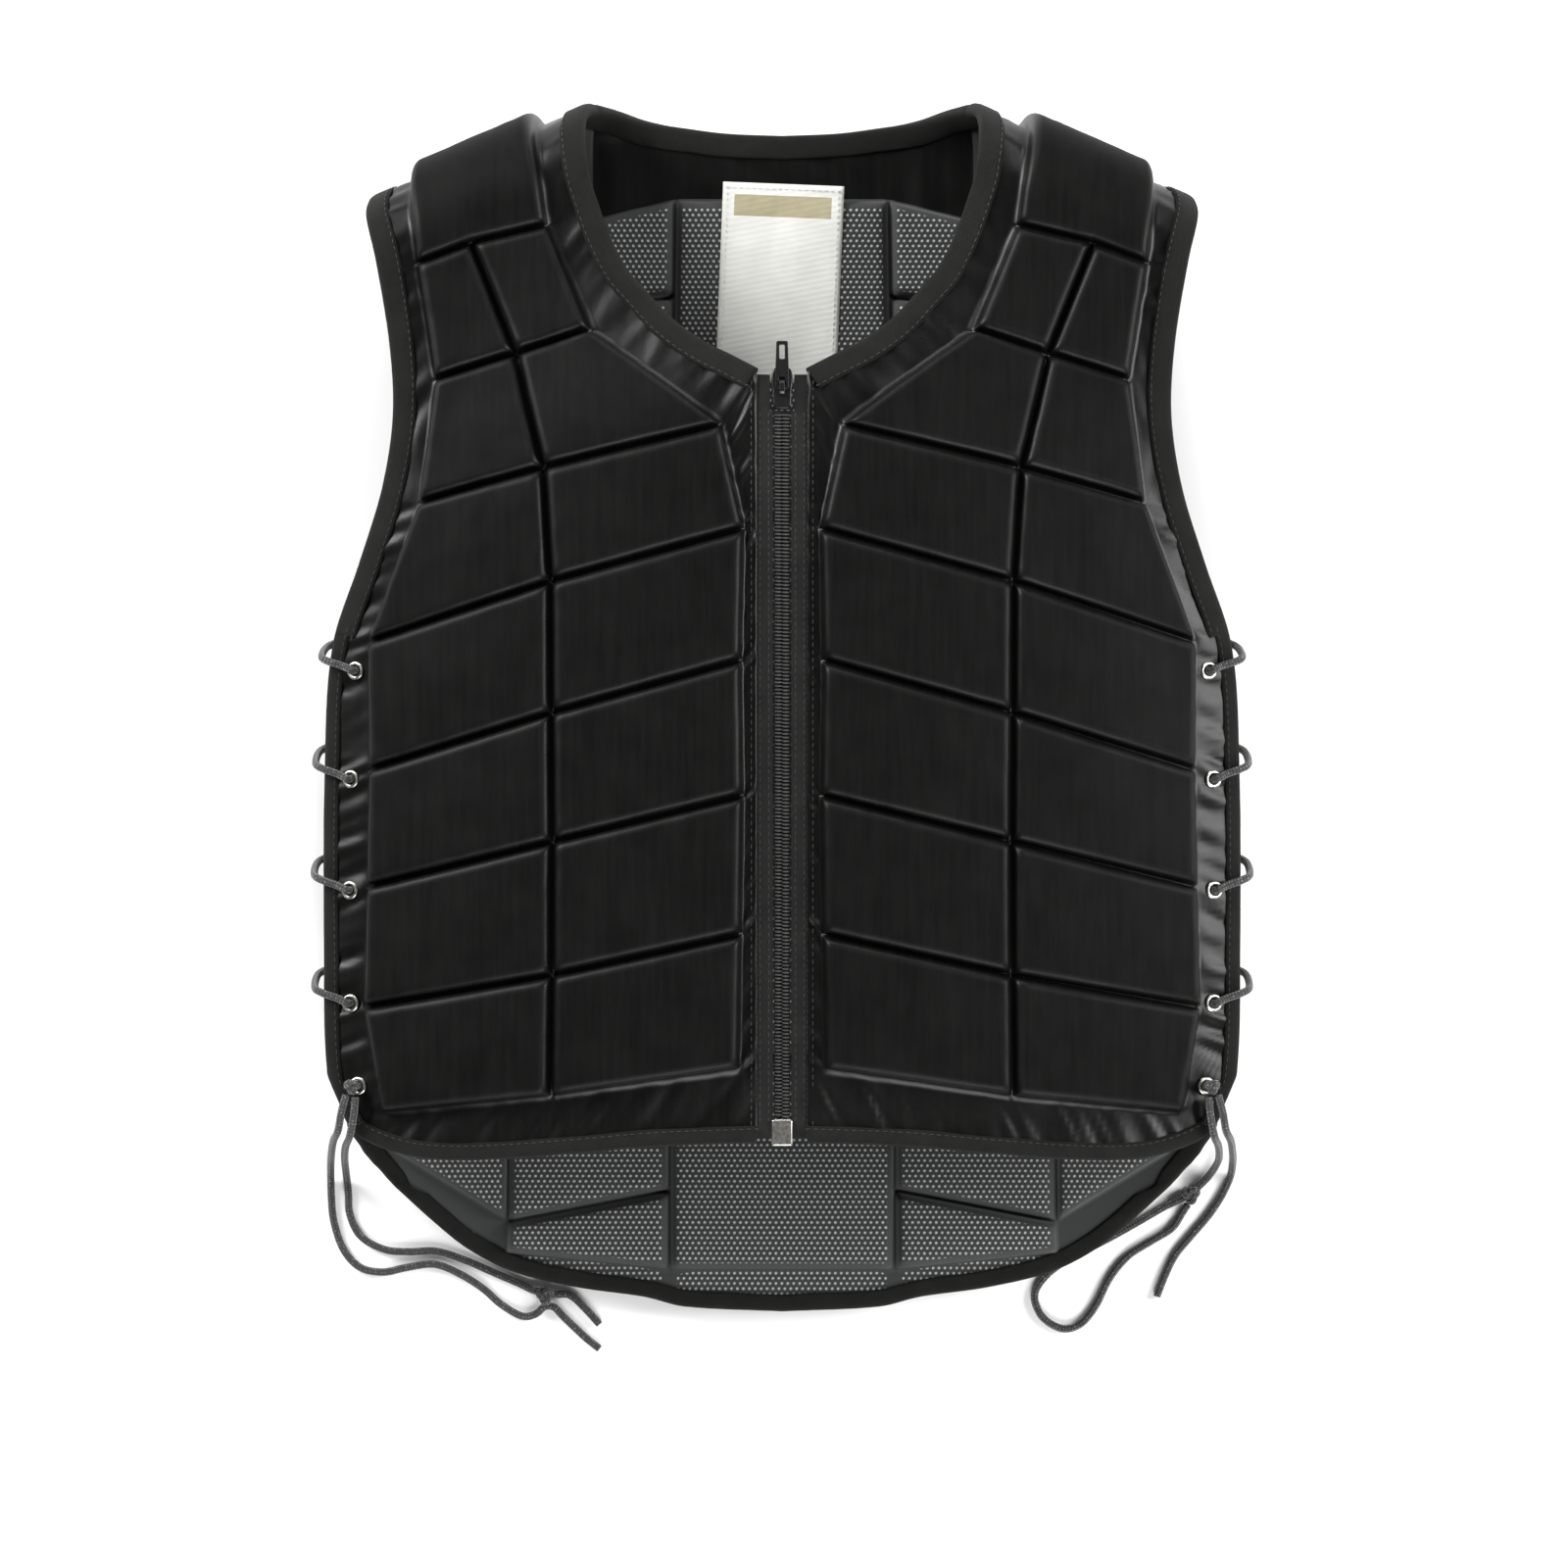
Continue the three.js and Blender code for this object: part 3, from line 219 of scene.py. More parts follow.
LEFT_TAIL = [
    (0.1821, -0.1618, 0.061), (0.184, -0.1687, 0.06), (0.1855, -0.1765, 0.057), (0.1878, -0.181, 0.046),
    (0.1892, -0.186, 0.03), (0.19, -0.191, 0.012), (0.1894, -0.1974, 0.0026), (0.1859, -0.2054, 0.0017),
    (0.1804, -0.2138, 0.0017), (0.1736, -0.2218, 0.0017), (0.166, -0.231, 0.0017),
    (0.1615, -0.2401, 0.0017), (0.1583, -0.2483, 0.0017),
]
LEFT_LOOP = [
    (0.1782, -0.1626, 0.061), (0.1788, -0.1696, 0.0605), (0.1806, -0.1789, 0.0572), (0.1826, -0.183, 0.045),
    (0.1836, -0.187, 0.03), (0.1836, -0.191, 0.015), (0.1806, -0.1968, 0.0036), (0.1756, -0.2021, 0.0028),
    (0.1687, -0.2069, 0.0026), (0.1615, -0.2104, 0.0017), (0.1512, -0.2164, 0.0017),
    (0.1402, -0.2226, 0.0017), (0.1287, -0.2286, 0.0017), (0.1181, -0.2343, 0.0017),
    (0.1103, -0.2409, 0.0017), (0.1066, -0.2483, 0.0017), (0.1099, -0.2569, 0.0017),
    (0.1181, -0.2618, 0.0017), (0.1259, -0.2601, 0.0017), (0.1324, -0.2524, 0.0017),
    (0.1382, -0.2409, 0.0017), (0.146, -0.2314, 0.0017), (0.1558, -0.225, 0.0017),
    (0.1646, -0.2196, 0.0017), (0.1688, -0.2134, 0.0017), (0.1713, -0.2094, 0.0026),
]
RIGHT_KNOT = (-0.1, -0.2478, 0.0042)
LEFT_KNOT = (0.1726, -0.2052, 0.0042)
FREE_STEP = 0.0016


def knot(name, centre, size, flat, node):
    """A pulled-up overhand knot: a trefoil of the cord itself, lying nearly flat."""
    turns = np.linspace(0, 2 * np.pi, 97)
    loop = np.column_stack([np.sin(turns) + 2 * np.sin(2 * turns), np.cos(turns) - 2 * np.cos(2 * turns),
                            -np.sin(3 * turns)])
    core = (size - LACE * 0.8) / 6
    path = loop * (core, core, flat) + np.array(centre)
    piece = tube(name, path, LACE * 0.8, braid, sides=10)
    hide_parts(node)
    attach(piece, "vest")
    return piece


def free_end(name, route, nodes):
    path = smooth_route(route, FREE_STEP)
    piece = tube(name, path, LACE, braid)
    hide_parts(*nodes)
    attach(piece, "vest")
    return piece


right_knot = knot("right_floor_knot", RIGHT_KNOT, 0.0088, 0.0013, "bow_knot_right")
left_knot = knot("left_floor_knot", LEFT_KNOT, 0.0088, 0.0013, "bow_knot_left")
free_end("right_outer_end", RIGHT_OUTER, ["bow_right_outer", "bow_right_tail_long"])
free_end("right_inner_end", RIGHT_INNER, ["bow_right_inner", "bow_right_tail_short"])
free_end("left_tail_end", LEFT_TAIL, ["bow_left_tail"])
free_end("left_loop_end", LEFT_LOOP, ["bow_left_strand", "bow_left_loop"])
for side, x in (("left", 0.1796), ("right", -0.1796)):
    knot(f"{side}_side_knot", (x, -0.1581, 0.0613), 0.0072, 0.0012, f"side_knot_{side}")

# The two fronts, each a padded panel of satin cloth stitched round separate foam blocks. Deep
# seams part the blocks, and plain puckered borders run along the zip, neck, armhole and hem.
LENGTH = 0.508
HALF_WIDTH = 0.19
SIDE_HEIGHT = 0.048
HEM_RISE = 0.032
CHEST_RISE = 0.012
BACK_CURL = 0.014
CURL_START = 0.11
FOLD_RADIUS = 0.024
SHOULDER_SLOPE = math.radians(23.5)
SHOULDER_EASE = 0.12
BLOCK = 0.018
CLOTH = 0.003
FRONT_GAP = 0.0106
JOINT_GAP = 0.0003
SEAM_WIDTH = 0.0006
BLOCK_ROUND = 0.0045
CROWN = 0.0009
PUCKER = 0.0017
WRINKLE = 0.0005
NAP_STRETCH = (420.0, 30.0, 60.0)
SATIN_BLACK = (0.0012, 0.0014, 0.0011)
SATIN_WORN = (0.0042, 0.0045, 0.004)
SIDE_EDGE = [
    (0.165, 0.963), (0.2, 0.993), (0.3, 1), (0.45, 0.998), (0.55, 0.981), (0.62, 0.92), (0.68, 0.871),
    (0.74, 0.848), (0.8, 0.857), (0.87, 0.888), (0.92, 0.918), (1.04, 0.925),
]
NECK_EDGE = [
    (0.775, 0.056), (0.785, 0.108), (0.797, 0.172), (0.815, 0.239), (0.837, 0.295), (0.86, 0.347),
    (0.889, 0.386), (0.918, 0.414), (0.942, 0.433), (1.04, 0.46),
]
FRONT_HEM = [
    (0.056, 0.146), (0.27, 0.143), (0.45, 0.137), (0.625, 0.132), (0.744, 0.131), (0.83, 0.135),
    (0.92, 0.148), (0.963, 0.165),
]
FRONT_CORNER = (0.951, 0.156)
# Seams from hem to shoulder: the inner edge's height, the seam's ends and its crossing with the
# upright seam as shares of the width and length, and the side edge's height
FRONT_SEAMS = [
    (0.199, (0.091, 0.205), (0.502, 0.182), (0.873, 0.167), 0.197),
    (0.316, (0.086, 0.316), (0.498, 0.282), (0.912, 0.254), 0.254),
    (0.429, (0.082, 0.429), (0.496, 0.391), (0.903, 0.353), 0.353),
    (0.539, (0.086, 0.539), (0.498, 0.496), (0.898, 0.449), 0.449),
    (0.646, (0.08, 0.646), (0.5, 0.603), (0.9, 0.554), 0.559),
    (0.775, (0.13, 0.731), (0.515, 0.695), (0.789, 0.667), 0.672),
    (0.823, (0.414, 0.807), (0.578, 0.788), (0.759, 0.768), 0.776),
    (0.904, (0.513, 0.896), (0.683, 0.882), (0.806, 0.865), 0.867),
]
FRONT_TOP = (0.46, 0.56, 0.69, 0.83, 0.925)


def curve_at(rows, u):
    """Height of a smooth curve at u, through rows of (u, value)."""
    table = np.array(rows, dtype=float)
    u = np.asarray(u, dtype=float)
    last = len(table) - 1
    i = np.clip(np.searchsorted(table[:, 0], u, side="right") - 1, 0, last - 1)
    before = np.maximum(np.arange(last + 1) - 1, 0)
    after = np.minimum(np.arange(last + 1) + 1, last)
    slope = (table[after, 1] - table[before, 1]) / (table[after, 0] - table[before, 0])
    span = table[i + 1, 0] - table[i, 0]
    t = (u - table[i, 0]) / span
    return ((2 * t ** 3 - 3 * t ** 2 + 1) * table[i, 1] + (t ** 3 - 2 * t ** 2 + t) * span * slope[i]
            + (3 * t ** 2 - 2 * t ** 3) * table[i + 1, 1] + (t ** 3 - t ** 2) * span * slope[i + 1])


def y_of(share):
    return (np.asarray(share, dtype=float) - 0.5) * LENGTH


def share_of(y):
    return np.asarray(y) / LENGTH + 0.5


def pattern(d, s):
    return np.array([d * HALF_WIDTH, y_of(s)])


FALL = np.array([math.sin(SHOULDER_SLOPE), math.cos(SHOULDER_SLOPE)])
FOLD_HEIGHT = FOLD_RADIUS + BLOCK / 2
FOLD_LINE = pattern(0.427, 0.998) - FALL * (FOLD_RADIUS + CLOTH / 2)
JOINT_TURN = 0.6 * math.pi
FRONT_REACH = FOLD_RADIUS * JOINT_TURN - JOINT_GAP / 2
BACK_REACH = FOLD_RADIUS * (math.pi - JOINT_TURN) - JOINT_GAP / 2


def ramp(q, low, high):
    t = np.clip((q - low) / (high - low), 0, 1)
    return t * t * (3 - 2 * t)


def layer(side, p):
    """The middle of the cloth where a pattern place lies: side is 1 in front and -1 behind."""
    x, y = p[..., 0], p[..., 1]
    width = np.abs(x)
    past = (width - FOLD_LINE[0]) * FALL[0] + (y - FOLD_LINE[1]) * FALL[1]
    ease = ramp(past, -SHOULDER_EASE, 0)
    if side < 0:
        curl = np.maximum(width - CURL_START, 0) / (HALF_WIDTH - CURL_START)
        rest = BLOCK / 2 + BACK_CURL * curl * curl * (1 - ease)
    else:
        chest = np.sin(math.pi * np.clip((share_of(y) - 0.16) / 0.76, 0, 1))
        arch = 1 - (width / HALF_WIDTH) ** 2.4
        height = SIDE_HEIGHT + (HEM_RISE + CHEST_RISE * chest) * arch
        rest = height + (FOLD_HEIGHT + FOLD_RADIUS - height) * ease
    turn = np.maximum(past, 0) / FOLD_RADIUS
    pulled = FOLD_RADIUS * np.sin(turn) - np.maximum(past, 0)
    folded = FOLD_HEIGHT + side * FOLD_RADIUS * np.cos(turn)
    return np.stack([x + np.sign(x) * FALL[0] * pulled, y + FALL[1] * pulled,
                     np.where(past > 0, folded, rest)], axis=-1)


def facing(side, p):
    step = 0.00005
    dx = layer(side, p + (step, 0)) - layer(side, p - (step, 0))
    dy = layer(side, p + (0, step)) - layer(side, p - (0, step))
    normal = np.cross(dx, dy)
    return side * normal / np.linalg.norm(normal, axis=-1, keepdims=True)


def placed(side, p, lift=0.0):
    lift = np.asarray(lift, dtype=float)
    return layer(side, p) + facing(side, p) * lift[..., None]


SEAM_STEPS = np.array([0, 0.7, 1.2, 1.8, 2.6, 3.6, 4.9, 6.4]) / 1000


def spread(reach, spacing, steps=SEAM_STEPS):
    """A plan of stops from a seam to the next, close together near both."""
    return steps, max(int((reach - 2 * steps[-1]) / spacing), 2)


def stops_between(a, b, plan):
    """Shares of the way from a to b, and each stop's distance from either end."""
    steps, count = plan
    reach = np.linalg.norm(b - a, axis=-1)[..., None]
    if steps is None:
        share = np.linspace(0, 1, count + 1) + 0 * reach
    else:
        low = np.minimum(steps / reach, 0.5 * steps / steps[-1] * 0.9)
        middle = np.linspace(0, 1, count + 1)[1:-1]
        inner = low[..., -1:] + (1 - 2 * low[..., -1:]) * middle
        share = np.concatenate([low, inner, 1 - low[..., ::-1]], axis=-1)
    return share, share * reach, (1 - share) * reach


def panel_grid(rows, columns, row_plans, edges):
    """Fine places between key rows of the same key columns. columns holds each column's plan and
    whether it is quilted; the two edge curves are met by moving the outermost columns."""
    lines, gaps = [], []
    for row in rows:
        line, gap = [], []
        for k, (plan, quilted) in enumerate(columns):
            share, low, high = stops_between(row[k], row[k + 1], plan)
            points = row[k] + (row[k + 1] - row[k]) * share[:, None]
            keep = slice(None) if k == len(columns) - 1 else slice(0, -1)
            line.append(points[keep])
            gap.append((np.minimum(low, high) if quilted else 0 * low)[keep])
        lines.append(np.vstack(line))
        gaps.append(np.concatenate(gap))
    marks = np.cumsum([0] + [len(part) for part in line])
    marks[-1] -= 1
    places, across, up_low, up_high, bands = [], [], [], [], []
    for r, plan in enumerate(row_plans):
        share, low, high = stops_between(lines[r], lines[r + 1], plan)
        count = share.shape[1] if r == len(row_plans) - 1 else share.shape[1] - 1
        for k in range(count):
            t = share[:, k][:, None]
            line = lines[r] * (1 - t) + lines[r + 1] * t
            line = edges(r, share[:, k], line)
            places.append(line)
            across.append(gaps[r] * (1 - t[:, 0]) + gaps[r + 1] * t[:, 0])
            up_low.append(low[:, k])
            up_high.append(high[:, k])
            bands.append(np.full(len(line), r))
    return [np.array(part) for part in (places, across, up_low, up_high, bands)] + [marks]


def rounded(distance):
    """The rise of a foam block's shoulder from the seam, 0 to 1."""
    t = np.clip((distance - SEAM_WIDTH) / BLOCK_ROUND, 0, 1)
    return (1 - (1 - t) ** 2.7) ** (1 / 2.7)


def ripples(run, cross, pitch, length, seed):
    """Smooth creases of a pitch along run, each of a length along cross."""
    flat = [noise.noise(Vector((a / pitch, b / length, seed)))
            for a, b in zip(np.ravel(run), np.ravel(cross))]
    return np.array(flat).reshape(run.shape)


def padded_mesh(name, side, places, rise, above, below, skins, patterns):
    """Closes the outer and inner faces of a panel into one mesh. rise is each place's share of
    the full block; above and below are the creases; skins names each face's material by place."""
    rows, columns = rise.shape
    half = CLOTH / 2 + (BLOCK - CLOTH) / 2 * rise
    outer = placed(side, places, half + above)
    inner = placed(side, places, -half - below)
    vertices = np.concatenate([outer.reshape(-1, 3), inner.reshape(-1, 3)])
    index = np.arange(rows * columns).reshape(rows, columns)
    a, b, c, d = index[:-1, :-1], index[:-1, 1:], index[1:, 1:], index[1:, :-1]
    top = np.stack([a, b, c, d], axis=-1).reshape(-1, 4)
    under = top[:, ::-1] + rows * columns
    if side < 0:
        top, under = top[:, ::-1], under[:, ::-1]
    ring = np.concatenate([index[0, :-1], index[:-1, -1], index[-1, :0:-1], index[:0:-1, 0]])
    after = np.roll(ring, -1)
    rim = np.stack([ring, ring + rows * columns, after + rows * columns, after], axis=-1)
    if side < 0:
        rim = rim[:, ::-1]
    faces = np.concatenate([top, under, rim])
    pattern_uv = np.concatenate([places.reshape(-1, 2)] * 2)
    piece = piece_of(name, vertices, faces, patterns[0], pattern_uv)
    for extra in patterns[1:]:
        piece.data.materials.append(extra)
    face_skin = skins[:-1, :-1].reshape(-1)
    slots = np.concatenate([np.zeros(len(top), int), face_skin, np.zeros(len(rim), int)])
    piece.data.polygons.foreach_set("material_index", slots.astype(np.int32))
    return piece


def satin_material():
    """Black satin with a fine slanting weave, and a faint wear in random patches and upright streaks."""
    material, nodes, shader = finish_named(
        "black_satin", Roughness=0.42, Sheen_Weight=0.004, Sheen_Roughness=0.4, Specular_IOR_Level=0.22)
    uv = coordinate(nodes, "UV")
    x, y, _ = split(nodes, uv)
    slant = sums(nodes, "ADD", sums(nodes, "MULTIPLY", x, 9000.0), sums(nodes, "MULTIPLY", y, 9000.0))
    twill = sums(nodes, "SINE", slant)
    dust = link(nodes, "ShaderNodeTexNoise", {"Vector": coordinate(nodes), "Scale": 60.0, "Detail": 6.0})
    grain = link(nodes, "ShaderNodeTexNoise", {"Vector": coordinate(nodes), "Scale": 1500.0, "Detail": 2.0})
    drawn = link(nodes, "ShaderNodeMapping", {"Vector": coordinate(nodes), "Scale": NAP_STRETCH})
    nap = link(nodes, "ShaderNodeTexNoise", {"Vector": drawn, "Scale": 1.0, "Detail": 3.0})
    shade = sums(nodes, "SUBTRACT", sums(nodes, "MULTIPLY", sums(nodes, "ADD", dust, nap), 1.4), 1.0)
    nodes.links.new(tinted(nodes, shade, SATIN_BLACK, SATIN_WORN), shader.inputs["Base Color"])
    rough = sums(nodes, "MULTIPLY_ADD", grain, 0.18)
    rough.node.inputs[2].default_value = 0.26
    block = nodes.nodes.new("ShaderNodeAttribute")
    block.attribute_name = "seam_distance"
    nap_share = link(nodes, "ShaderNodeMapRange", {
        "Value": block.outputs["Fac"], "From Min": 0.001, "From Max": 0.005})
    napped = sums(nodes, "MULTIPLY", nap_share, 0.3)
    nodes.links.new(sums(nodes, "ADD", rough, napped), shader.inputs["Roughness"])
    shine = sums(nodes, "SUBTRACT", 0.2, sums(nodes, "MULTIPLY", nap_share, 0.13))
    nodes.links.new(shine, shader.inputs["Specular IOR Level"])
    height = sums(nodes, "ADD", sums(nodes, "MULTIPLY", twill, 0.35), grain)
    relief(nodes, shader, height, 0.00002)
    return material


# The pale grey is painted highlight, laid on the knit's dots; the knit itself is black.
MESH_BLACK = (0.012, 0.013, 0.013)
MESH_HIGHLIGHT = (0.34, 0.35, 0.34)
MESH_PITCH = 0.0025
MESH_HIGHLIGHT_RADIUS = 0.00062
CHANNEL_HALF = 0.0034


def lining_material():
    """Spacer mesh: black knit with pale dots in rows painted as highlights, kept off a band along each seam.
    """
    material, nodes, shader = finish_named("mesh_lining", Roughness=0.8, Sheen_Weight=0.15)
    x, y, _ = split(nodes, coordinate(nodes, "UV"))
    nearest = None
    for shift in (0.0, 0.5):
        offsets = []
        for axis, pitch in ((x, MESH_PITCH), (y, MESH_PITCH * math.sqrt(3))):
            cell = sums(nodes, "ADD", sums(nodes, "DIVIDE", axis, pitch), shift + 100)
            offset = sums(nodes, "SUBTRACT", sums(nodes, "FRACT", cell), 0.5)
            scaled = sums(nodes, "MULTIPLY", offset, pitch)
            offsets.append(sums(nodes, "MULTIPLY", scaled, scaled))
        distance = sums(nodes, "SQRT", sums(nodes, "ADD", *offsets))
        nearest = distance if nearest is None else sums(nodes, "MINIMUM", nearest, distance)
    # Each pale dot is a painted highlight on the knit; the same mask also dimples the bump.
    dot = link(nodes, "ShaderNodeMapRange", {
        "Value": nearest, "From Min": MESH_HIGHLIGHT_RADIUS * 0.55, "From Max": MESH_HIGHLIGHT_RADIUS * 1.25,
        "To Min": 1.0, "To Max": 0.0})
    seam = nodes.nodes.new("ShaderNodeAttribute")
    seam.attribute_name = "seam_distance"
    away_from_seam = link(nodes, "ShaderNodeMapRange", {
        "Value": seam.outputs["Fac"], "From Min": CHANNEL_HALF * 0.85, "From Max": CHANNEL_HALF})
    # The painted highlights are kept off a band along each seam, which stays plain black.
    shown = sums(nodes, "MULTIPLY", dot, away_from_seam)
    nodes.links.new(tinted(nodes, shown, MESH_BLACK, MESH_HIGHLIGHT), shader.inputs["Base Color"])
    knit = sums(nodes, "SUBTRACT", 1.0, sums(nodes, "MULTIPLY", dot, away_from_seam))
    relief(nodes, shader, knit, 0.0004)
    return material


satin = satin_material()
lining = lining_material()


def side_edge(share):
    return np.stack([curve_at(SIDE_EDGE, share) * HALF_WIDTH, y_of(share)], axis=-1)


def neck_edge(share):
    share = np.asarray(share, dtype=float)
    x = np.where(share < NECK_EDGE[0][0], FRONT_GAP,
                 np.maximum(curve_at(NECK_EDGE, share) * HALF_WIDTH, FRONT_GAP))
    return np.stack([x, y_of(share)], axis=-1)


def hem_point(rows, x):
    return np.stack([x, y_of(curve_at(rows, np.asarray(x) / HALF_WIDTH))], axis=-1)


def joint_point(d, side):
    x = d * HALF_WIDTH
    point = np.array([x, FOLD_LINE[1] + (FRONT_REACH - (x - FOLD_LINE[0]) * FALL[0]) / FALL[1]])
    return point if side > 0 else point + FALL * (BACK_REACH - FRONT_REACH)


def curved_hem(places, bands, hem_rows):
    """Moves the strip below the lowest seam so that its foot follows the hem's curve."""
    strip = bands[:, 0] == 0
    foot = places[0].copy()
    width = np.abs(foot[:, 0])
    bow = np.where(width < hem_rows[-1][0] * HALF_WIDTH, hem_point(hem_rows, width)[:, 1] - foot[:, 1], 0)
    share = np.linspace(1, 0, strip.sum() + 1)[:-1, None]
    places[strip, :, 1] += share * bow


FINE = 0.0026
BORDER_STEPS = 9


def front_rows():
    """Key places of one front, from the hem to the shoulder joint, and its edges' heights."""
    rows = [np.array([neck_edge(neck), pattern(*inner), pattern(*middle), pattern(*outer), side_edge(side)])
            for neck, inner, middle, outer, side in FRONT_SEAMS]
    rows.append(np.array([joint_point(d, 1) for d in FRONT_TOP]))
    hem = [hem_point(FRONT_HEM, x) for x in (FRONT_GAP, *rows[0][1:4, 0])] + [pattern(*FRONT_CORNER)]
    heights = [(neck, side) for neck, _, _, _, side in FRONT_SEAMS]
    heights.append((float(share_of(rows[-1][0][1])), float(share_of(rows[-1][4][1]))))
    return [np.array(hem)] + rows, heights


def front_grid():
    rows, heights = front_rows()
    border = (None, BORDER_STEPS)
    block = spread(0.078, FINE)
    columns = [(border, False), (block, True), (block, True), (border, False)]
    row_plans = [(None, 9)]
    for low, high in zip(rows[1:-1], rows[2:]):
        row_plans.append(spread(np.linalg.norm(high[1:4] - low[1:4], axis=1).max(), FINE))

    def edges(r, share, line):
        if r == 0:
            return line
        (neck_low, side_low), (neck_high, side_high) = heights[r - 1], heights[r]
        strips = ((slice(0, BORDER_STEPS + 1), 0, neck_edge, neck_low, neck_high, 1),
                  (slice(-BORDER_STEPS - 1, None), -1, side_edge, side_low, side_high, -1))
        for columns_here, edge, curve, low, high, turn in strips:
            move = curve(low + (high - low) * share[edge]) - line[edge]
            weight = np.linspace(1, 0, BORDER_STEPS + 1)[::turn]
            line[columns_here] += move * weight[:, None]
        return line

    grid = panel_grid(rows, columns, row_plans, edges)
    curved_hem(grid[0], grid[4], FRONT_HEM)
    return rows, *grid


def front_panel(name, sign, seed):
    rows, places, across, up_low, up_high, bands, _ = front_grid()
    up = np.minimum(up_low, up_high)
    whole = len(rows) - 2
    columns = places.shape[1]
    number = np.arange(columns)[None, :] + 0 * bands
    one_block = bands == whole
    x_run = np.cumsum(np.linalg.norm(np.diff(places, axis=1, prepend=places[:, :1]), axis=-1), axis=1)
    y_run = np.cumsum(np.linalg.norm(np.diff(places, axis=0, prepend=places[:1]), axis=-1), axis=0)
    strap_edge = np.minimum(x_run - x_run[:, BORDER_STEPS][:, None],
                            x_run[:, -BORDER_STEPS - 1][:, None] - x_run)
    inside = (number >= BORDER_STEPS) & (number <= columns - 1 - BORDER_STEPS)
    across = np.where(one_block & inside, np.maximum(strap_edge, 0), across)
    up = np.where(bands == 0, 0, up)
    rise = rounded(across) * rounded(up)
    seam = np.minimum(across, up)
    # Crowned blocks, with creases that run in from their seams
    crown = CROWN * np.clip(across / 0.035, 0, 1) * np.clip(up / 0.025, 0, 1)
    fade = np.exp(-seam / 0.009) * np.clip(seam / 0.003, 0, 1)
    creases = WRINKLE * fade * (ripples(x_run + 0.4 * y_run, y_run, 0.0075, 0.03, seed)
                                + ripples(y_run - 0.3 * x_run, x_run, 0.009, 0.03, seed + 3))
    swell = 0.0005 * rise * ripples(places[..., 0], places[..., 1], 0.05, 0.04, seed + 5)
    # Puckered borders, flat again at the tape and at the blocks
    edge = np.minimum(number, columns - 1 - number) / BORDER_STEPS
    strip = np.where(edge < 1, np.sin(math.pi * np.clip(edge, 0, 1)) ** 0.7, 0)
    hem_share = np.where(bands == 0, 1, 0)
    hem_height = y_run / np.maximum(y_run[np.sum(bands[:, 0] == 0)], 1e-6)
    hem = hem_share * np.sin(math.pi * np.clip(hem_height, 0, 1)) ** 0.7
    slanting = ripples(y_run + 0.8 * x_run, x_run, 0.0052, 0.03, seed + 7)
    upright = ripples(x_run + 0.5 * y_run, y_run, 0.0058, 0.03, seed + 9)
    pucker = PUCKER * (strip * (1 - hem_share) * slanting + hem * upright)
    above = crown + creases + swell + pucker
    below = crown + creases * 0.5 - pucker * 0.8
    worn = places * np.array([sign, 1])
    if sign < 0:
        worn, rise, seam = worn[:, ::-1], rise[:, ::-1], seam[:, ::-1]
        above, below = above[:, ::-1], below[:, ::-1]
    skins = np.ones(rise.shape, int)
    piece = padded_mesh(f"{name}_front", 1, worn, rise, above, below, skins, [satin, lining])
    tag = piece.data.attributes.new("seam_distance", "FLOAT", "POINT")
    tag.data.foreach_set("value", np.concatenate([seam.ravel()] * 2).astype(np.float32))
    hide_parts(f"front_{name}_panel")
    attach(piece, "vest")
    return places


front_panel("left", 1, 2.0)
front_places = front_panel("right", -1, 31.0)

# The back, one padded panel that lies on its blocks. Its outside is the same satin, and its
# inside is mesh lining over the blocks, with a satin facing below the neck.
BACK_HEM = [
    (0, 0.002), (0.216, 0.006), (0.304, 0.014), (0.455, 0.022), (0.597, 0.035), (0.696, 0.054),
    (0.772, 0.077), (0.836, 0.099), (0.87, 0.111), (0.929, 0.137),
]
BACK_NECK = [
    (0, 0.973), (0.125, 0.975), (0.209, 0.979), (0.276, 0.983), (0.323, 0.988), (0.395, 1.001),
    (0.427, 1.009),
]
BACK_CORNER = (0.951, 0.15)
# As for the front, with whether the seam crosses the middle column too
BACK_SEAMS = [
    ((0.25, 0.034), (0.614, 0.048), (0.86, 0.111), 0.18, True),
    ((0.25, 0.1), (0.61, 0.074), (0.86, 0.131), 0.2, False),
    ((0.25, 0.2115), (0.606, 0.182), (0.903, 0.155), 0.23, True),
    ((0.25, 0.323), (0.603, 0.293), (0.908, 0.26), 0.29, False),
    ((0.25, 0.434), (0.6, 0.404), (0.901, 0.373), 0.38, True),
    ((0.25, 0.546), (0.595, 0.516), (0.899, 0.482), 0.482, False),
    ((0.247, 0.657), (0.56, 0.627), (0.855, 0.605), 0.605, True),
    ((0.243, 0.768), (0.5, 0.739), (0.76, 0.704), 0.704, False),
    ((0.24, 0.841), (0.44, 0.833), (0.77, 0.801), 0.801, False),
    ((0.237, 0.922), (0.422, 0.905), (0.806, 0.872), 0.872, True),
]
BACK_STEPS = np.array([0, 0.8, 1.5, 2.4, 3.8, 6.2]) / 1000
BACK_FINE = 0.004
BACK_BORDER_STEPS = 6
STRAP_BORDER = 0.013
STRAP_END = 0.011
FAR = 1.0
FACING_PUCKER = 0.0009


def both_sides(half):
    """Key places from the wearer's right edge to the left, from those of one half."""
    half = np.array(half)
    return np.vstack([half[::-1] * (-1, 1), half])


def back_rows():
    rows = [both_sides([pattern(*inner), pattern(*middle), pattern(*outer), side_edge(side)])
            for inner, middle, outer, side, _ in BACK_SEAMS]
    hem = [hem_point(BACK_HEM, x) for x in (*rows[0][4:6, 0], rows[0][6, 0] + 0.006)]
    hem.append(pattern(*BACK_CORNER))
    top = [hem_point(BACK_NECK, 0.2 * HALF_WIDTH), *(joint_point(d, -1) for d in (0.46, 0.83, 0.925))]
    return [both_sides(hem)] + rows + [both_sides(top)]


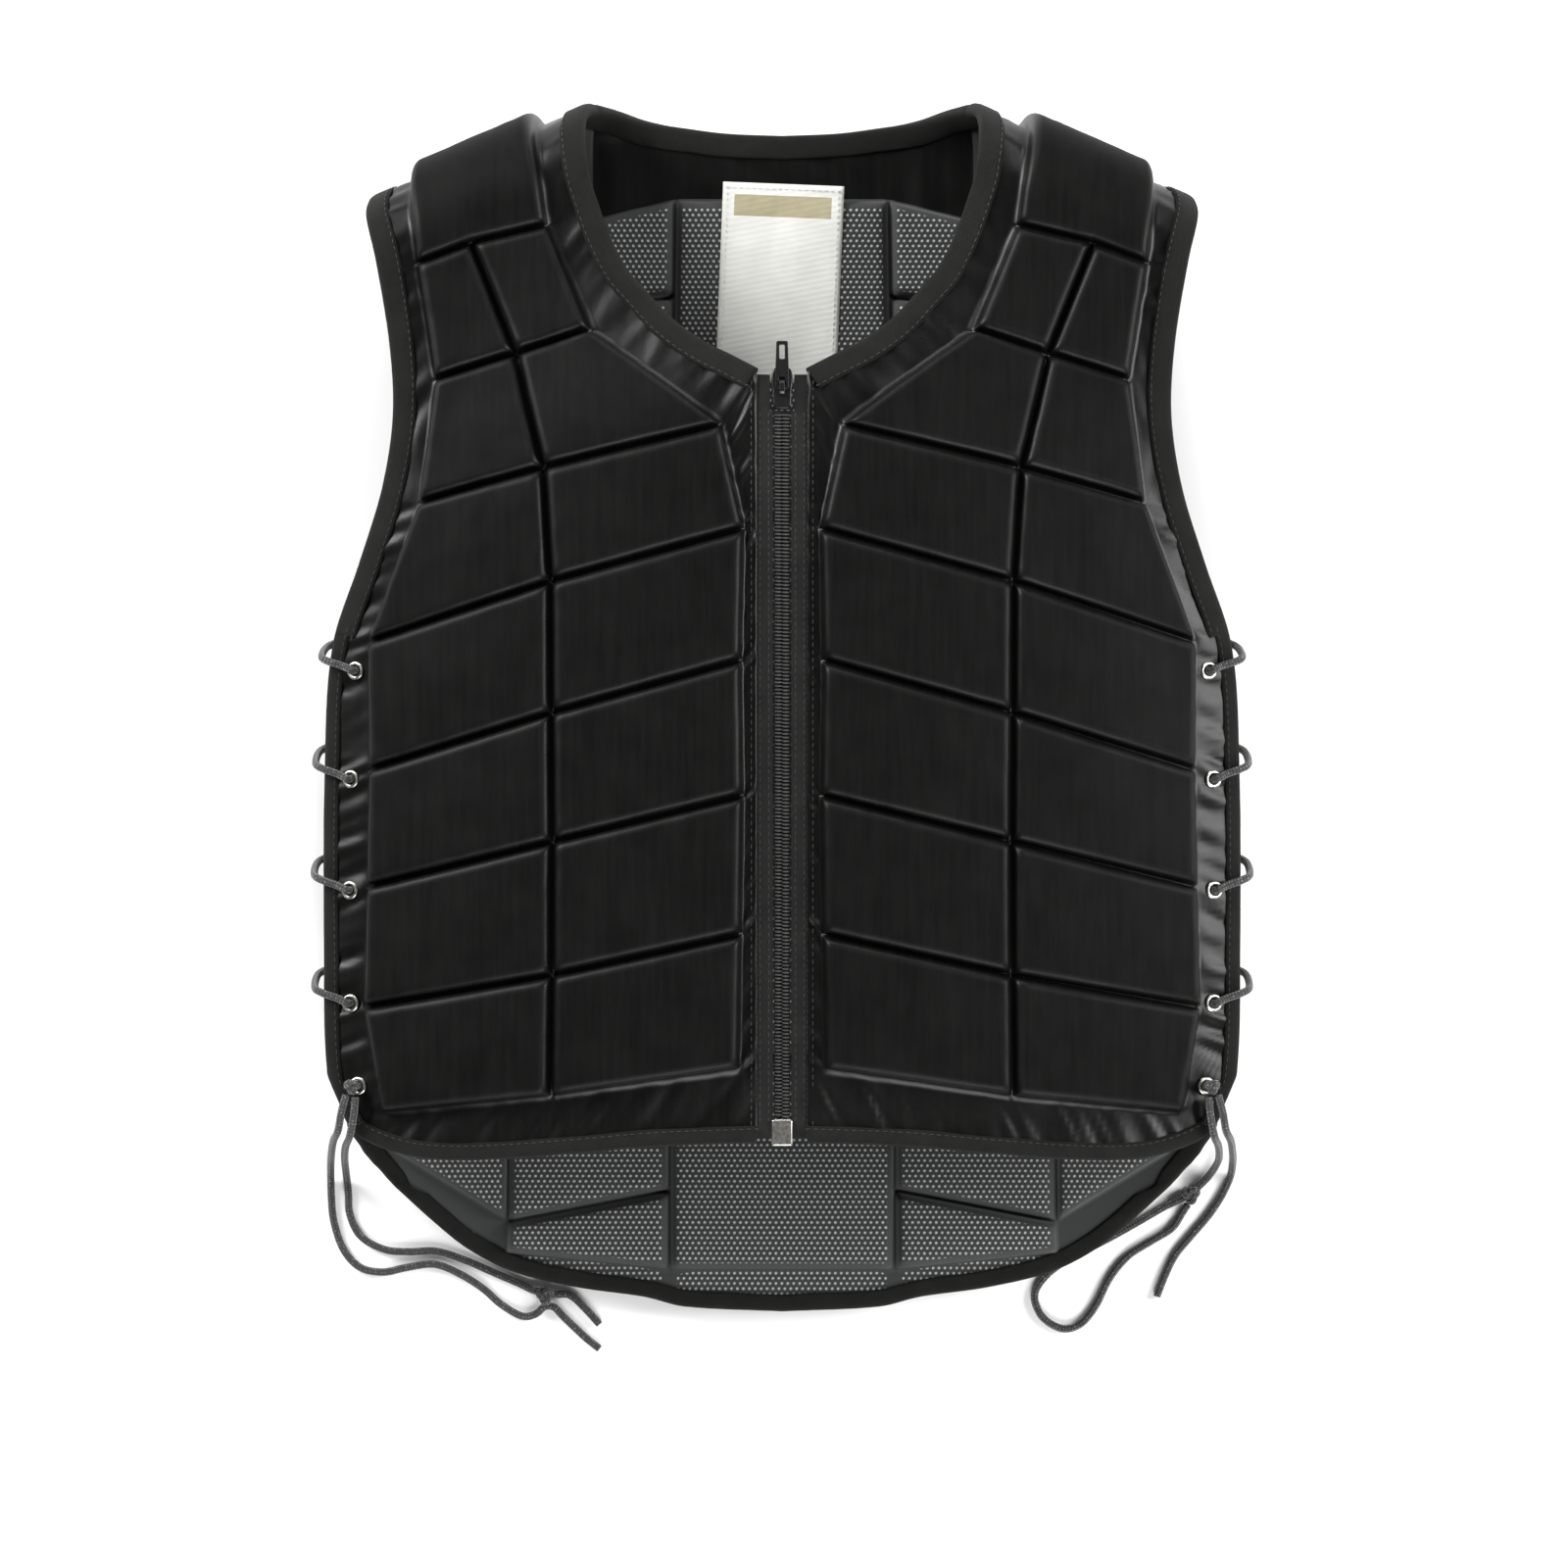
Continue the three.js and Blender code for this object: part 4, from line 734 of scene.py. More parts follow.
def back_grid():
    rows = back_rows()
    border = (None, BACK_BORDER_STEPS)
    widths = (0.057, 0.068, 0.095, 0.068, 0.057)
    columns = [(border, False)] + [(spread(w, BACK_FINE, BACK_STEPS), True) for w in widths]
    columns.append((border, False))
    row_plans = [(None, BACK_BORDER_STEPS)]
    for low, high in zip(rows[1:-1], rows[2:]):
        row_plans.append(spread(np.linalg.norm(high - low, axis=1).max(), BACK_FINE, BACK_STEPS))
    heights = [side for _, _, _, side, _ in BACK_SEAMS]
    last = len(rows) - 2

    def edges(r, share, line):
        if r in (0, last):
            return line
        for edge, sign, columns_here in ((-1, 1, slice(-BACK_BORDER_STEPS - 1, None)),
                                         (0, -1, slice(0, BACK_BORDER_STEPS + 1))):
            height = heights[r - 1] + (heights[r] - heights[r - 1]) * share[edge]
            move = side_edge(height) * (sign, 1) - line[edge]
            weight = np.linspace(0, 1, BACK_BORDER_STEPS + 1)[::sign]
            line[columns_here] += move * weight[:, None]
        return line

    places, across, up_low, up_high, bands, marks = panel_grid(rows, columns, row_plans, edges)
    top = bands[:, 0] == last
    low, high = places[top][0], places[-1].copy()
    share = np.linalg.norm(places[top] - low, axis=-1) / np.linalg.norm(high - low, axis=-1)
    bow = np.where(np.abs(high[:, 0]) < 0.427 * HALF_WIDTH,
                   hem_point(BACK_NECK, np.abs(high[:, 0]))[:, 1] - high[:, 1], 0)
    places[top, :, 1] += share * bow
    curved_hem(places, bands, BACK_HEM)
    return places, across, up_low, up_high, bands, marks, last


back_places, across, up_low, up_high, bands, marks, last_band = back_grid()
number = np.arange(back_places.shape[1])[None, :] + 0 * bands
middle_column = (number >= marks[3]) & (number <= marks[4])
for r, (*_, crossed) in enumerate(BACK_SEAMS):
    if not crossed:
        up_high[middle_column & (bands == r)] = FAR
        up_low[middle_column & (bands == r + 1)] = FAR
x_run = np.cumsum(np.linalg.norm(np.diff(back_places, axis=1, prepend=back_places[:, :1]), axis=-1), axis=1)
y_run = np.cumsum(np.linalg.norm(np.diff(back_places, axis=0, prepend=back_places[:1]), axis=-1), axis=0)
strap_band = bands == last_band
for inner_mark, outer_mark in ((5, 6), (2, 1)):
    from_middle = np.abs(x_run - x_run[:, marks[inner_mark]][:, None])
    from_outer = np.abs(x_run - x_run[:, marks[outer_mark]][:, None])
    low, high = sorted((marks[inner_mark], marks[outer_mark]))
    strap = strap_band & (number >= low) & (number <= high)
    strap_edge = np.minimum(from_middle - STRAP_BORDER * 0.8, from_outer)
    across = np.where(strap, np.clip(strap_edge, 0, None), across)
    corner = (bands == 1) & (number >= low) & (number <= high)
    across = np.where(corner, 0, across)
facing_here = strap_band & (number > marks[2]) & (number < marks[5])
up_high = np.where(strap_band, np.clip(up_high - STRAP_END, 0, None), up_high)
up = np.where(bands == 0, 0, np.minimum(up_low, up_high))
across = np.where(facing_here, 0, across)
rise = rounded(across) * rounded(up)
seam_distance = np.minimum(across, up)
crown = CROWN * np.clip(across / 0.03, 0, 1) * np.clip(up / 0.025, 0, 1)
fade = np.exp(-seam_distance / 0.01) * np.clip(seam_distance / 0.003, 0, 1)
creases = WRINKLE * fade * (ripples(x_run, y_run, 0.009, 0.03, 51.0)
                            + ripples(y_run, x_run, 0.01, 0.03, 57.0))
gathers = np.where(facing_here, FACING_PUCKER * ripples(x_run, y_run, 0.011, 0.06, 61.0), 0)
skins = np.where(facing_here, 0, 1)
back = padded_mesh("back", -1, back_places, rise, -np.abs(creases), crown + creases + gathers, skins,
                   [satin, lining])
flat = np.zeros(len(back.data.vertices) * 3, dtype=np.float32)
back.data.vertices.foreach_get("co", flat)
flat = flat.reshape(-1, 3)
flat[:, 2] = np.maximum(flat[:, 2], 0.0001)
back.data.vertices.foreach_set("co", flat.ravel())
tag = back.data.attributes.new("seam_distance", "FLOAT", "POINT")
shown_distance = np.where(bands == 0, across, seam_distance)
tag.data.foreach_set("value", np.concatenate([shown_distance.ravel()] * 2).astype(np.float32))
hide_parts("back_panel")
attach(back, "vest")

# The bindings: a folded woven tape, stitched over the raw edge of each panel. One runs round the
# neck, one round each armhole, one along each front's hem and side, and one along the back's.
TAPE_BLACK = (0.0022, 0.0025, 0.002)
TAPE_GREY = (0.0085, 0.0095, 0.0075)
NECK_TAPE = 0.009
SIDE_TAPE = 0.006
TAPE_HALF = 0.0030
TAPE_SLOT = 0.0017
TAPE_STEP = 0.0017
ARMHOLE_FOOT = 0.56
TAPE_RIB = 0.0008
STITCH_PITCH = 0.0032
STITCH_LENGTH = 0.0021
STITCH_RADIUS = 0.00022
STITCH_INSET = 0.0013


def tape_material(name, dark, light, rib):
    """Woven tape: fine ribs across it, and a looser weave seen through them."""
    material, nodes, shader = finish_named(name, Roughness=0.7, Sheen_Weight=0.012, Specular_IOR_Level=0.15)
    run, around, _ = split(nodes, coordinate(nodes, "UV"))
    ribs = sums(nodes, "SINE", sums(nodes, "MULTIPLY", run, 2 * math.pi / rib))
    yarns = sums(nodes, "SINE", sums(nodes, "MULTIPLY", around, 2 * math.pi / (rib * 0.8)))
    weave = sums(nodes, "MULTIPLY_ADD", ribs, yarns)
    weave.node.inputs[2].default_value = 0.5
    patches = link(nodes, "ShaderNodeTexNoise", {"Vector": coordinate(nodes), "Scale": 90.0, "Detail": 5.0})
    shade = sums(nodes, "MULTIPLY_ADD", patches, 1.3)
    shade.node.inputs[2].default_value = -0.25
    nodes.links.new(tinted(nodes, shade, dark, light), shader.inputs["Base Color"])
    relief(nodes, shader, weave, 0.00012)
    return material


def edge_stops(side, edge, inside):
    """Places on a panel's edge, the ways inwards along the cloth, and the cloth's facings."""
    spot = placed(side, edge)
    inward = placed(side, inside) - spot
    return np.hstack([spot, inward / np.linalg.norm(inward, axis=1)[:, None], facing(side, edge)])


def eased(stops, reach):
    """Turns the ways inwards gradually where an edge has a corner."""
    padded = np.vstack([stops[:1]] * reach + [stops] + [stops[-1:]] * reach)
    soft = sum(padded[k:k + len(stops), 3:6] for k in range(2 * reach + 1))
    return np.hstack([stops[:, :3], soft / np.linalg.norm(soft, axis=1)[:, None], stops[:, 6:]])


def resampled(stops, step):
    reach = np.concatenate([[0], np.cumsum(np.linalg.norm(np.diff(stops[:, :3], axis=0), axis=1))])
    places_here = np.linspace(0, reach[-1], max(int(reach[-1] / step), 2) + 1)
    return np.column_stack([np.interp(places_here, reach, stops[:, k]) for k in range(stops.shape[1])])


def tape_section(width):
    """The folded tape seen from its end, as distances inwards from the edge and up from the cloth."""
    top = [(width, TAPE_SLOT + 0.0002), (width - 0.0005, TAPE_HALF - 0.0004),
           (width - 0.0012, TAPE_HALF - 0.0002), (width * 0.6, TAPE_HALF),
           (0.0012, TAPE_HALF), (-0.0003, TAPE_HALF - 0.0004),
           (-0.0011, TAPE_HALF - 0.0013), (-0.0013, 0)]
    under = [(reach, -lift) for reach, lift in top[-2::-1]]
    slot = [(width, -TAPE_SLOT), (-0.0003, -TAPE_SLOT), (-0.0003, TAPE_SLOT), (width, TAPE_SLOT)]
    return np.array(top + under + slot)


def binding(name, stops, width, material, nodes_replaced, seed):
    stops = eased(resampled(stops, TAPE_STEP), 3)
    spot, inward, up_way = stops[:, :3], stops[:, 3:6], stops[:, 6:]
    run = np.gradient(spot, axis=0)
    run /= np.linalg.norm(run, axis=1)[:, None]
    slant = np.sqrt(np.clip(1 - (run * inward).sum(axis=1) ** 2, 0.25, 1))
    reach = np.concatenate([[0], np.cumsum(np.linalg.norm(np.diff(spot, axis=0), axis=1))])
    section = tape_section(width)
    around = np.concatenate([[0], np.cumsum(np.linalg.norm(np.diff(section, axis=0), axis=1))])
    vertices, uvs = [], []
    for k in range(len(spot)):
        wave = 1 + 0.07 * noise.noise(Vector((reach[k] / 0.012, 0.0, seed)))
        drift = 0.0003 * noise.noise(Vector((reach[k] / 0.02, 5.0, seed)))
        for (a, b), v in zip(section, around):
            inner_shift = drift if a > width * 0.5 else 0.0
            vertices.append(spot[k] + inward[k] * (a + inner_shift) / slant[k] + up_way[k] * b * wave)
            uvs.append((reach[k], v))
    size = len(section)
    faces = [(k * size + i, k * size + (i + 1) % size, (k + 1) * size + (i + 1) % size, (k + 1) * size + i)
             for k in range(len(spot) - 1) for i in range(size)]
    faces += [tuple(range(size))[::-1], tuple((len(spot) - 1) * size + i for i in range(size))]
    piece = piece_of(name, vertices, faces, material, uvs)
    outward_only(piece)
    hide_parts(*nodes_replaced)
    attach(piece, "vest")
    return [spot + inward * ((width - STITCH_INSET) / slant)[:, None] + up_way * TAPE_HALF * face
            for face in (1, -1)]


def outward_only(piece):
    """Recalculates the facings of a closed mesh so that they all point out."""
    work = bmesh.new()
    work.from_mesh(piece.data)
    bmesh.ops.recalc_face_normals(work, faces=work.faces)
    work.to_mesh(piece.data)
    work.free()


def stitch_tree(name, material):
    """Nodes that lay a stitch at every pitch along a line, as real geometry."""
    tree = bpy.data.node_groups.new(name, "GeometryNodeTree")
    tree.interface.new_socket("Geometry", in_out="INPUT", socket_type="NodeSocketGeometry")
    for label, value in (("Pitch", STITCH_PITCH), ("Length", STITCH_LENGTH), ("Radius", STITCH_RADIUS)):
        socket = tree.interface.new_socket(label, in_out="INPUT", socket_type="NodeSocketFloat")
        socket.default_value = value
    tree.interface.new_socket("Geometry", in_out="OUTPUT", socket_type="NodeSocketGeometry")
    given = tree.nodes.new("NodeGroupInput").outputs
    line = link(tree, "GeometryNodeMeshToCurve", {"Mesh": given["Geometry"]})
    stops = link(tree, "GeometryNodeResampleCurve", {"Curve": line, "Length": given["Pitch"]}, mode="LENGTH")
    thread = link(tree, "GeometryNodeMeshUVSphere", {"Segments": 6, "Rings": 5, "Radius": 1.0})
    half = link(tree, "ShaderNodeMath", {0: given["Length"], 1: 0.5}, operation="MULTIPLY")
    size = link(tree, "ShaderNodeCombineXYZ", {"X": given["Radius"], "Y": given["Radius"], "Z": half})
    tangent = link(tree, "GeometryNodeInputTangent", {})
    turn = link(tree, "FunctionNodeAlignRotationToVector", {"Vector": tangent}, axis="Z")
    laid = link(tree, "GeometryNodeInstanceOnPoints", {
        "Points": stops, "Instance": thread, "Rotation": turn, "Scale": size})
    real = link(tree, "GeometryNodeRealizeInstances", {"Geometry": laid})
    dressed = link(tree, "GeometryNodeSetMaterial", {"Geometry": real, "Material": material})
    tree.links.new(dressed, tree.nodes.new("NodeGroupOutput").inputs[0])
    return tree


def grown(name, vertices, edges_of, tree, **inputs):
    """Runs a Geometry Nodes tree on bare lines or points, and keeps the result as a plain mesh."""
    seed_mesh = bpy.data.meshes.new(f"{name}_route")
    seed_mesh.from_pydata([tuple(map(float, v)) for v in vertices], edges_of, [])
    route = bpy.data.objects.new(f"{name}_route", seed_mesh)
    bpy.context.scene.collection.objects.link(route)
    modifier = route.modifiers.new("grow", "NODES")
    modifier.node_group = tree
    for item in tree.interface.items_tree:
        if item.in_out == "INPUT" and item.name in inputs:
            modifier[item.identifier] = inputs[item.name]
    result = bpy.data.meshes.new_from_object(route.evaluated_get(bpy.context.evaluated_depsgraph_get()))
    bpy.data.objects.remove(route)
    result.name = name
    result.polygons.foreach_set("use_smooth", [True] * len(result.polygons))
    piece = bpy.data.objects.new(name, result)
    bpy.context.scene.collection.objects.link(piece)
    return piece


def stitches(name, lines, material, slot_name, **sizes):
    vertices, joined = [], []
    for line in lines:
        start = len(vertices)
        vertices.extend(line)
        joined.extend((start + k, start + k + 1) for k in range(len(line) - 1))
    piece = grown(name, vertices, joined, stitch_tree(name, material), **sizes)
    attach(piece, "vest")
    return piece


tape = tape_material("binding_tape", TAPE_BLACK, TAPE_GREY, TAPE_RIB)
thread_material, thread_nodes, thread_shader = finish_named("sewing_thread", Roughness=0.6, Sheen_Weight=0.1)
ply = link(thread_nodes, "ShaderNodeTexWave", {"Vector": coordinate(thread_nodes), "Scale": 900.0})
thread_nodes.links.new(tinted(thread_nodes, ply, (0.003, 0.003, 0.003), (0.009, 0.009, 0.009)),
                       thread_shader.inputs["Base Color"])


def front_stops(sign, rows_here, edge, inside):
    """The stops of one front's edge column, each with the place beside it further in."""
    on_edge = front_places[rows_here, edge] * (sign, 1)
    return edge_stops(1, on_edge, front_places[rows_here, inside] * (sign, 1))


front_shares = share_of(front_places[:, 0, 1])
side_shares = share_of(front_places[:, -1, 1])
back_shares = share_of(back_places[:, -1, 1])
neck_here = np.flatnonzero(front_shares >= NECK_EDGE[0][0] - 0.0001)
arm_here = np.flatnonzero(side_shares >= ARMHOLE_FOOT)
side_here = np.flatnonzero(side_shares < ARMHOLE_FOOT + 0.006)
back_arm = np.flatnonzero(back_shares >= ARMHOLE_FOOT)
back_side = np.flatnonzero(back_shares < ARMHOLE_FOOT + 0.006)
top_columns = np.arange(marks[2], marks[5] + 1)
neck_path = np.vstack([
    front_stops(-1, neck_here, 0, 1),
    edge_stops(-1, back_places[-1, top_columns], back_places[-6, top_columns]),
    front_stops(1, neck_here, 0, 1)[::-1],
])
seams_sewn = binding("neck_tape", neck_path, NECK_TAPE, tape, ["neck_binding"], 71.0)
for name, sign, edge, inside in (("left", 1, -1, -2), ("right", -1, 0, 1)):
    arm_path = np.vstack([
        front_stops(sign, arm_here, -1, -2),
        edge_stops(-1, back_places[back_arm, edge], back_places[back_arm, inside])[::-1],
    ])
    seams_sewn += binding(f"{name}_armhole_tape", arm_path, NECK_TAPE, tape,
                          [f"armhole_binding_{name}"], 73.0)
    hem = edge_stops(1, front_places[0, :-1] * (sign, 1), front_places[1, :-1] * (sign, 1))
    corner = edge_stops(1, front_places[:1, -1] * (sign, 1), front_places[3:4, -4] * (sign, 1))
    edge_path = np.vstack([hem, corner, front_stops(sign, side_here, -1, -2)])
    seams_sewn += binding(f"{name}_front_edge_tape", edge_path, SIDE_TAPE, tape,
                          [f"front_edge_binding_{name}"], 75.0)
right_side = edge_stops(-1, back_places[back_side, 0], back_places[back_side, 1])[::-1]
left_side = edge_stops(-1, back_places[back_side, -1], back_places[back_side, -2])
back_hem = edge_stops(-1, back_places[0, 1:-1], back_places[1, 1:-1])
seams_sewn += binding("back_edge_tape", np.vstack([right_side, back_hem, left_side]), SIDE_TAPE, tape,
                      ["back_edge_binding"], 77.0)
stitches("binding_stitches", seams_sewn[0::2], thread_material, "binding")

# The zip: a coil on two woven tapes that are sewn under the fronts' welts, closed all the way. A
# black slider with a hinged pull stands at its head, and a small metal box closes its foot.
ZIP_FOOT = 0.147
BOX_HEAD = 0.163
CHAIN_HEAD = 0.743
ZIP_HEAD = 0.772
CHAIN_HALF = 0.0034
TOOTH_PITCH = 0.0015
TOOTH_SIZE = (0.00185, 0.00052, 0.00095)
TOOTH_OFFSET = 0.0015
TOOTH_LIFT = 0.0006
COIL_FOOT = 0.0012
COIL_END = 0.0022
CORD_LAYER = (-0.001, 0.0003)
CORD_SECTION = (-CHAIN_HALF, -0.0012, 0.0012, CHAIN_HALF)
TAPE_LAYER = (-0.0005, 0.0005)
TAPE_SEAMS = (0.0092, 0.0056)
TAPE_SEAM_LIFT = 0.00055
WELT_SEAM = (0.0128, 0.0019)
WELT_SHARES = (0.16, 0.765)
COIL_DARK = (0.007, 0.0075, 0.007)
COIL_LIGHT = (0.03, 0.032, 0.029)
SLIDER_LENGTH = 0.0175
SLIDER_WIDTH = 0.0094
SLIDER_HALF = 0.002
SLIDER_LIFT = 0.0003
PIN_LIFT = 0.0009
BOX_SIZE = (0.0086, 0.011, 0.0034)
SLIDER_EDGE = 0.0006
BRIDGE_HALF = 0.0011
PULL_HALF = 0.0006
THIN_EDGE = 0.0002
LEVEL_REACH = 0.005


def ribbon(name, shares, low_high, section, material):
    """A closed strip along the middle of the front: section lists the places across it."""
    vertices, uvs = [], []
    low, high = low_high
    ring = [(x, high) for x in section] + [(x, low) for x in section[::-1]]
    for share in shares:
        y = float(y_of(share))
        for x, lift in ring:
            vertices.append(placed(1, np.array([x, y]), np.array(lift)))
            uvs.append((x, y))
    size = len(ring)
    faces = [(k * size + i, k * size + (i + 1) % size, (k + 1) * size + (i + 1) % size, (k + 1) * size + i)
             for k in range(len(shares) - 1) for i in range(size)]
    faces += [tuple(range(size))[::-1], tuple((len(shares) - 1) * size + i for i in range(size))]
    piece = piece_of(name, vertices, faces, material, uvs)
    outward_only(piece)
    piece.data.polygons.foreach_set("use_smooth", [False] * len(piece.data.polygons))
    return piece


def tooth_tree(material):
    """Nodes that set a bent coil element at every pitch along a line."""
    tree = bpy.data.node_groups.new("coil_elements", "GeometryNodeTree")
    tree.interface.new_socket("Geometry", in_out="INPUT", socket_type="NodeSocketGeometry")
    pitch = tree.interface.new_socket("Pitch", in_out="INPUT", socket_type="NodeSocketFloat")
    pitch.default_value = TOOTH_PITCH
    size = tree.interface.new_socket("Size", in_out="INPUT", socket_type="NodeSocketVector")
    size.default_value = TOOTH_SIZE
    tree.interface.new_socket("Geometry", in_out="OUTPUT", socket_type="NodeSocketGeometry")
    given = tree.nodes.new("NodeGroupInput").outputs
    line = link(tree, "GeometryNodeMeshToCurve", {"Mesh": given["Geometry"]})
    stops = link(tree, "GeometryNodeResampleCurve", {"Curve": line, "Length": given["Pitch"]}, mode="LENGTH")
    element = link(tree, "GeometryNodeMeshUVSphere", {"Segments": 10, "Rings": 6, "Radius": 1.0})
    tangent = link(tree, "GeometryNodeInputTangent", {})
    turn = link(tree, "FunctionNodeAlignRotationToVector", {"Vector": tangent}, axis="Y")
    laid = link(tree, "GeometryNodeInstanceOnPoints", {
        "Points": stops, "Instance": element, "Rotation": turn, "Scale": given["Size"]})
    real = link(tree, "GeometryNodeRealizeInstances", {"Geometry": laid})
    dressed = link(tree, "GeometryNodeSetMaterial", {"Geometry": real, "Material": material})
    tree.links.new(dressed, tree.nodes.new("NodeGroupOutput").inputs[0])
    return tree


def metal_material(name, colour, roughness, metallic):
    """Plated or enamelled metal, dulled here and there by handling."""
    material, nodes, shader = finish_named(name, Metallic=metallic)
    rubs = link(nodes, "ShaderNodeTexNoise", {"Vector": coordinate(nodes), "Scale": 700.0, "Detail": 4.0})
    rough = sums(nodes, "MULTIPLY_ADD", rubs, 0.25)
    rough.node.inputs[2].default_value = roughness - 0.12
    nodes.links.new(rough, shader.inputs["Roughness"])
    dull = tuple(c * 0.6 for c in colour)
    nodes.links.new(tinted(nodes, rubs, dull, colour), shader.inputs["Base Color"])
    relief(nodes, shader, rubs, 0.00003)
    return material


coil_material, coil_nodes, coil_shader = finish_named("nylon_coil", Roughness=0.38)
coil_shade = link(coil_nodes, "ShaderNodeTexNoise", {"Vector": coordinate(coil_nodes), "Scale": 300.0})
coil_nodes.links.new(tinted(coil_nodes, coil_shade, COIL_DARK, COIL_LIGHT), coil_shader.inputs["Base Color"])
zip_weave = tape_material("zip_tape_weave", (0.006, 0.0065, 0.006), (0.016, 0.017, 0.015), 0.0006)
enamel = metal_material("black_enamel", (0.02, 0.02, 0.02), 0.3, 0.6)
nickel = metal_material("bright_nickel", (0.62, 0.6, 0.55), 0.3, 1.0)

chain_shares = np.linspace(BOX_HEAD + 0.0006, CHAIN_HEAD - 0.0006, 200)
core = ribbon("zip_cord", chain_shares, CORD_LAYER, CORD_SECTION, zip_weave)
for name, offset, start in (("left", TOOTH_OFFSET, 0.0), ("right", -TOOTH_OFFSET, 0.5)):
    first = BOX_HEAD + (COIL_FOOT + start * TOOTH_PITCH) / LENGTH
    shares = np.linspace(first, CHAIN_HEAD - COIL_END / LENGTH, 120)
    route = [placed(1, np.array([offset, float(y_of(share))]), np.array(TOOTH_LIFT)) for share in shares]
    elements = grown(f"zip_coil_{name}", route, [(k, k + 1) for k in range(len(route) - 1)],
                     tooth_tree(coil_material), Pitch=TOOTH_PITCH, Size=TOOTH_SIZE)
    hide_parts("zip_chain")
    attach(elements, "vest")
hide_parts("zip_chain")
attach(core, "vest")
tape_lines = []
for name, sign in (("left", 1), ("right", -1)):
    inner_x, outer_x = CHAIN_HALF + 0.0003, FRONT_GAP - 0.0002
    section = [sign * x for x in (inner_x, inner_x + 0.0008, inner_x + 0.0022, outer_x - 0.0015, outer_x)]
    woven = ribbon(f"zip_tape_{name}_woven", np.linspace(ZIP_FOOT + 0.001, CHAIN_HEAD - 0.0008, 150),
                   TAPE_LAYER, sorted(section), zip_weave)
    beside = SLIDER_WIDTH / 2
    head_section = sorted(sign * x for x in (beside + 0.0003, beside + 0.003, outer_x))
    head = ribbon(f"zip_tape_{name}_head", np.linspace(CHAIN_HEAD - 0.0008, ZIP_HEAD, 20),
                  TAPE_LAYER, head_section, zip_weave)
    for woven_part in (woven, head):
        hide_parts(f"zip_tape_{name}")
        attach(woven_part, "vest")
    for x in TAPE_SEAMS:
        tape_lines.append([placed(1, np.array([sign * x, float(y_of(share))]), np.array(TAPE_SEAM_LIFT))
                           for share in np.linspace(BOX_HEAD, CHAIN_HEAD - 0.004, 120)])
    welt = [placed(1, np.array([sign * WELT_SEAM[0], float(y_of(share))]), np.array(WELT_SEAM[1]))
            for share in np.linspace(*WELT_SHARES, 120)]
    tape_lines.append(welt)
stitches("zip_stitches", tape_lines, thread_material, "zip_tape")

SLIDER_SHARE = CHAIN_HEAD + (SLIDER_LENGTH / 2 + 0.0003) / LENGTH
seat = placed(1, np.array([0.0, float(y_of(SLIDER_SHARE))]), np.array(SLIDER_LIFT))
ahead = layer(1, np.array([0.0, float(y_of(SLIDER_SHARE)) + LEVEL_REACH]))
behind = layer(1, np.array([0.0, float(y_of(SLIDER_SHARE)) - LEVEL_REACH]))
slope = math.atan2(ahead[2] - behind[2], 2 * LEVEL_REACH)
slider_frame = Matrix.Translation(seat) @ Matrix.Rotation(slope, 4, "X")


def pressed(name, outlines, half, material, frame_here, edge=0.00025, level=3):
    """A plate with rounded edges from closed outlines: the first is its rim, the rest its holes."""
    flat = bpy.data.curves.new(name, "CURVE")
    flat.dimensions = "2D"
    flat.fill_mode = "BOTH"
    flat.extrude = half - edge
    flat.bevel_depth = edge
    flat.bevel_resolution = level
    flat.offset = -edge
    for outline in outlines:
        spline = flat.splines.new("POLY")
        spline.points.add(len(outline) - 1)
        spline.use_cyclic_u = True
        for point, (x, y) in zip(spline.points, outline):
            point.co = (x, y, 0, 1)
    shape = bpy.data.objects.new(name, flat)
    bpy.context.scene.collection.objects.link(shape)
    mesh = bpy.data.meshes.new_from_object(shape.evaluated_get(bpy.context.evaluated_depsgraph_get()))
    bpy.data.objects.remove(shape)
    mesh.transform(frame_here)
    mesh.name = name
    mesh.materials.clear()
    mesh.materials.append(material)
    piece = bpy.data.objects.new(name, mesh)
    bpy.context.scene.collection.objects.link(piece)
    outward_only(piece)
    return piece


def rounded_outline(corners, radius, turn_steps=5):
    """A closed outline with its corners rounded."""
    points = []
    corners = [Vector(c) for c in corners]
    for k, corner in enumerate(corners):
        before = (corners[k - 1] - corner)
        after = (corners[(k + 1) % len(corners)] - corner)
        reach = min(radius, before.length * 0.45, after.length * 0.45)
        a = corner + before.normalized() * reach
        b = corner + after.normalized() * reach
        for t in np.linspace(0, 1, turn_steps):
            points.append(tuple(a * (1 - t) ** 2 + corner * 2 * t * (1 - t) + b * t ** 2))
    return points


half_width, half_length = SLIDER_WIDTH / 2, SLIDER_LENGTH / 2
body_outline = [(-half_width * 0.8, -half_length), (half_width * 0.8, -half_length), (half_width * 0.84, 0),
                (half_width, half_length * 0.5), (half_width * 0.72, half_length),
                (-half_width * 0.72, half_length), (-half_width, half_length * 0.5), (-half_width * 0.84, 0)]
slider_body = pressed("zip_slider_body", [rounded_outline(body_outline, 0.0022)], SLIDER_HALF, enamel,
                      slider_frame, edge=SLIDER_EDGE)
arch = [(-0.003, 0.0018), (-0.003, 0.0038), (-0.0018, 0.0048), (0.0018, 0.0048), (0.003, 0.0038),
        (0.003, 0.0018), (0.002, 0.0018), (0.002, 0.0034), (0.0012, 0.0038), (-0.0012, 0.0038),
        (-0.002, 0.0034), (-0.002, 0.0018)]
upright = Matrix(((0, 0, 1, 0), (1, 0, 0, 0), (0, 1, 0, 0), (0, 0, 0, 1)))
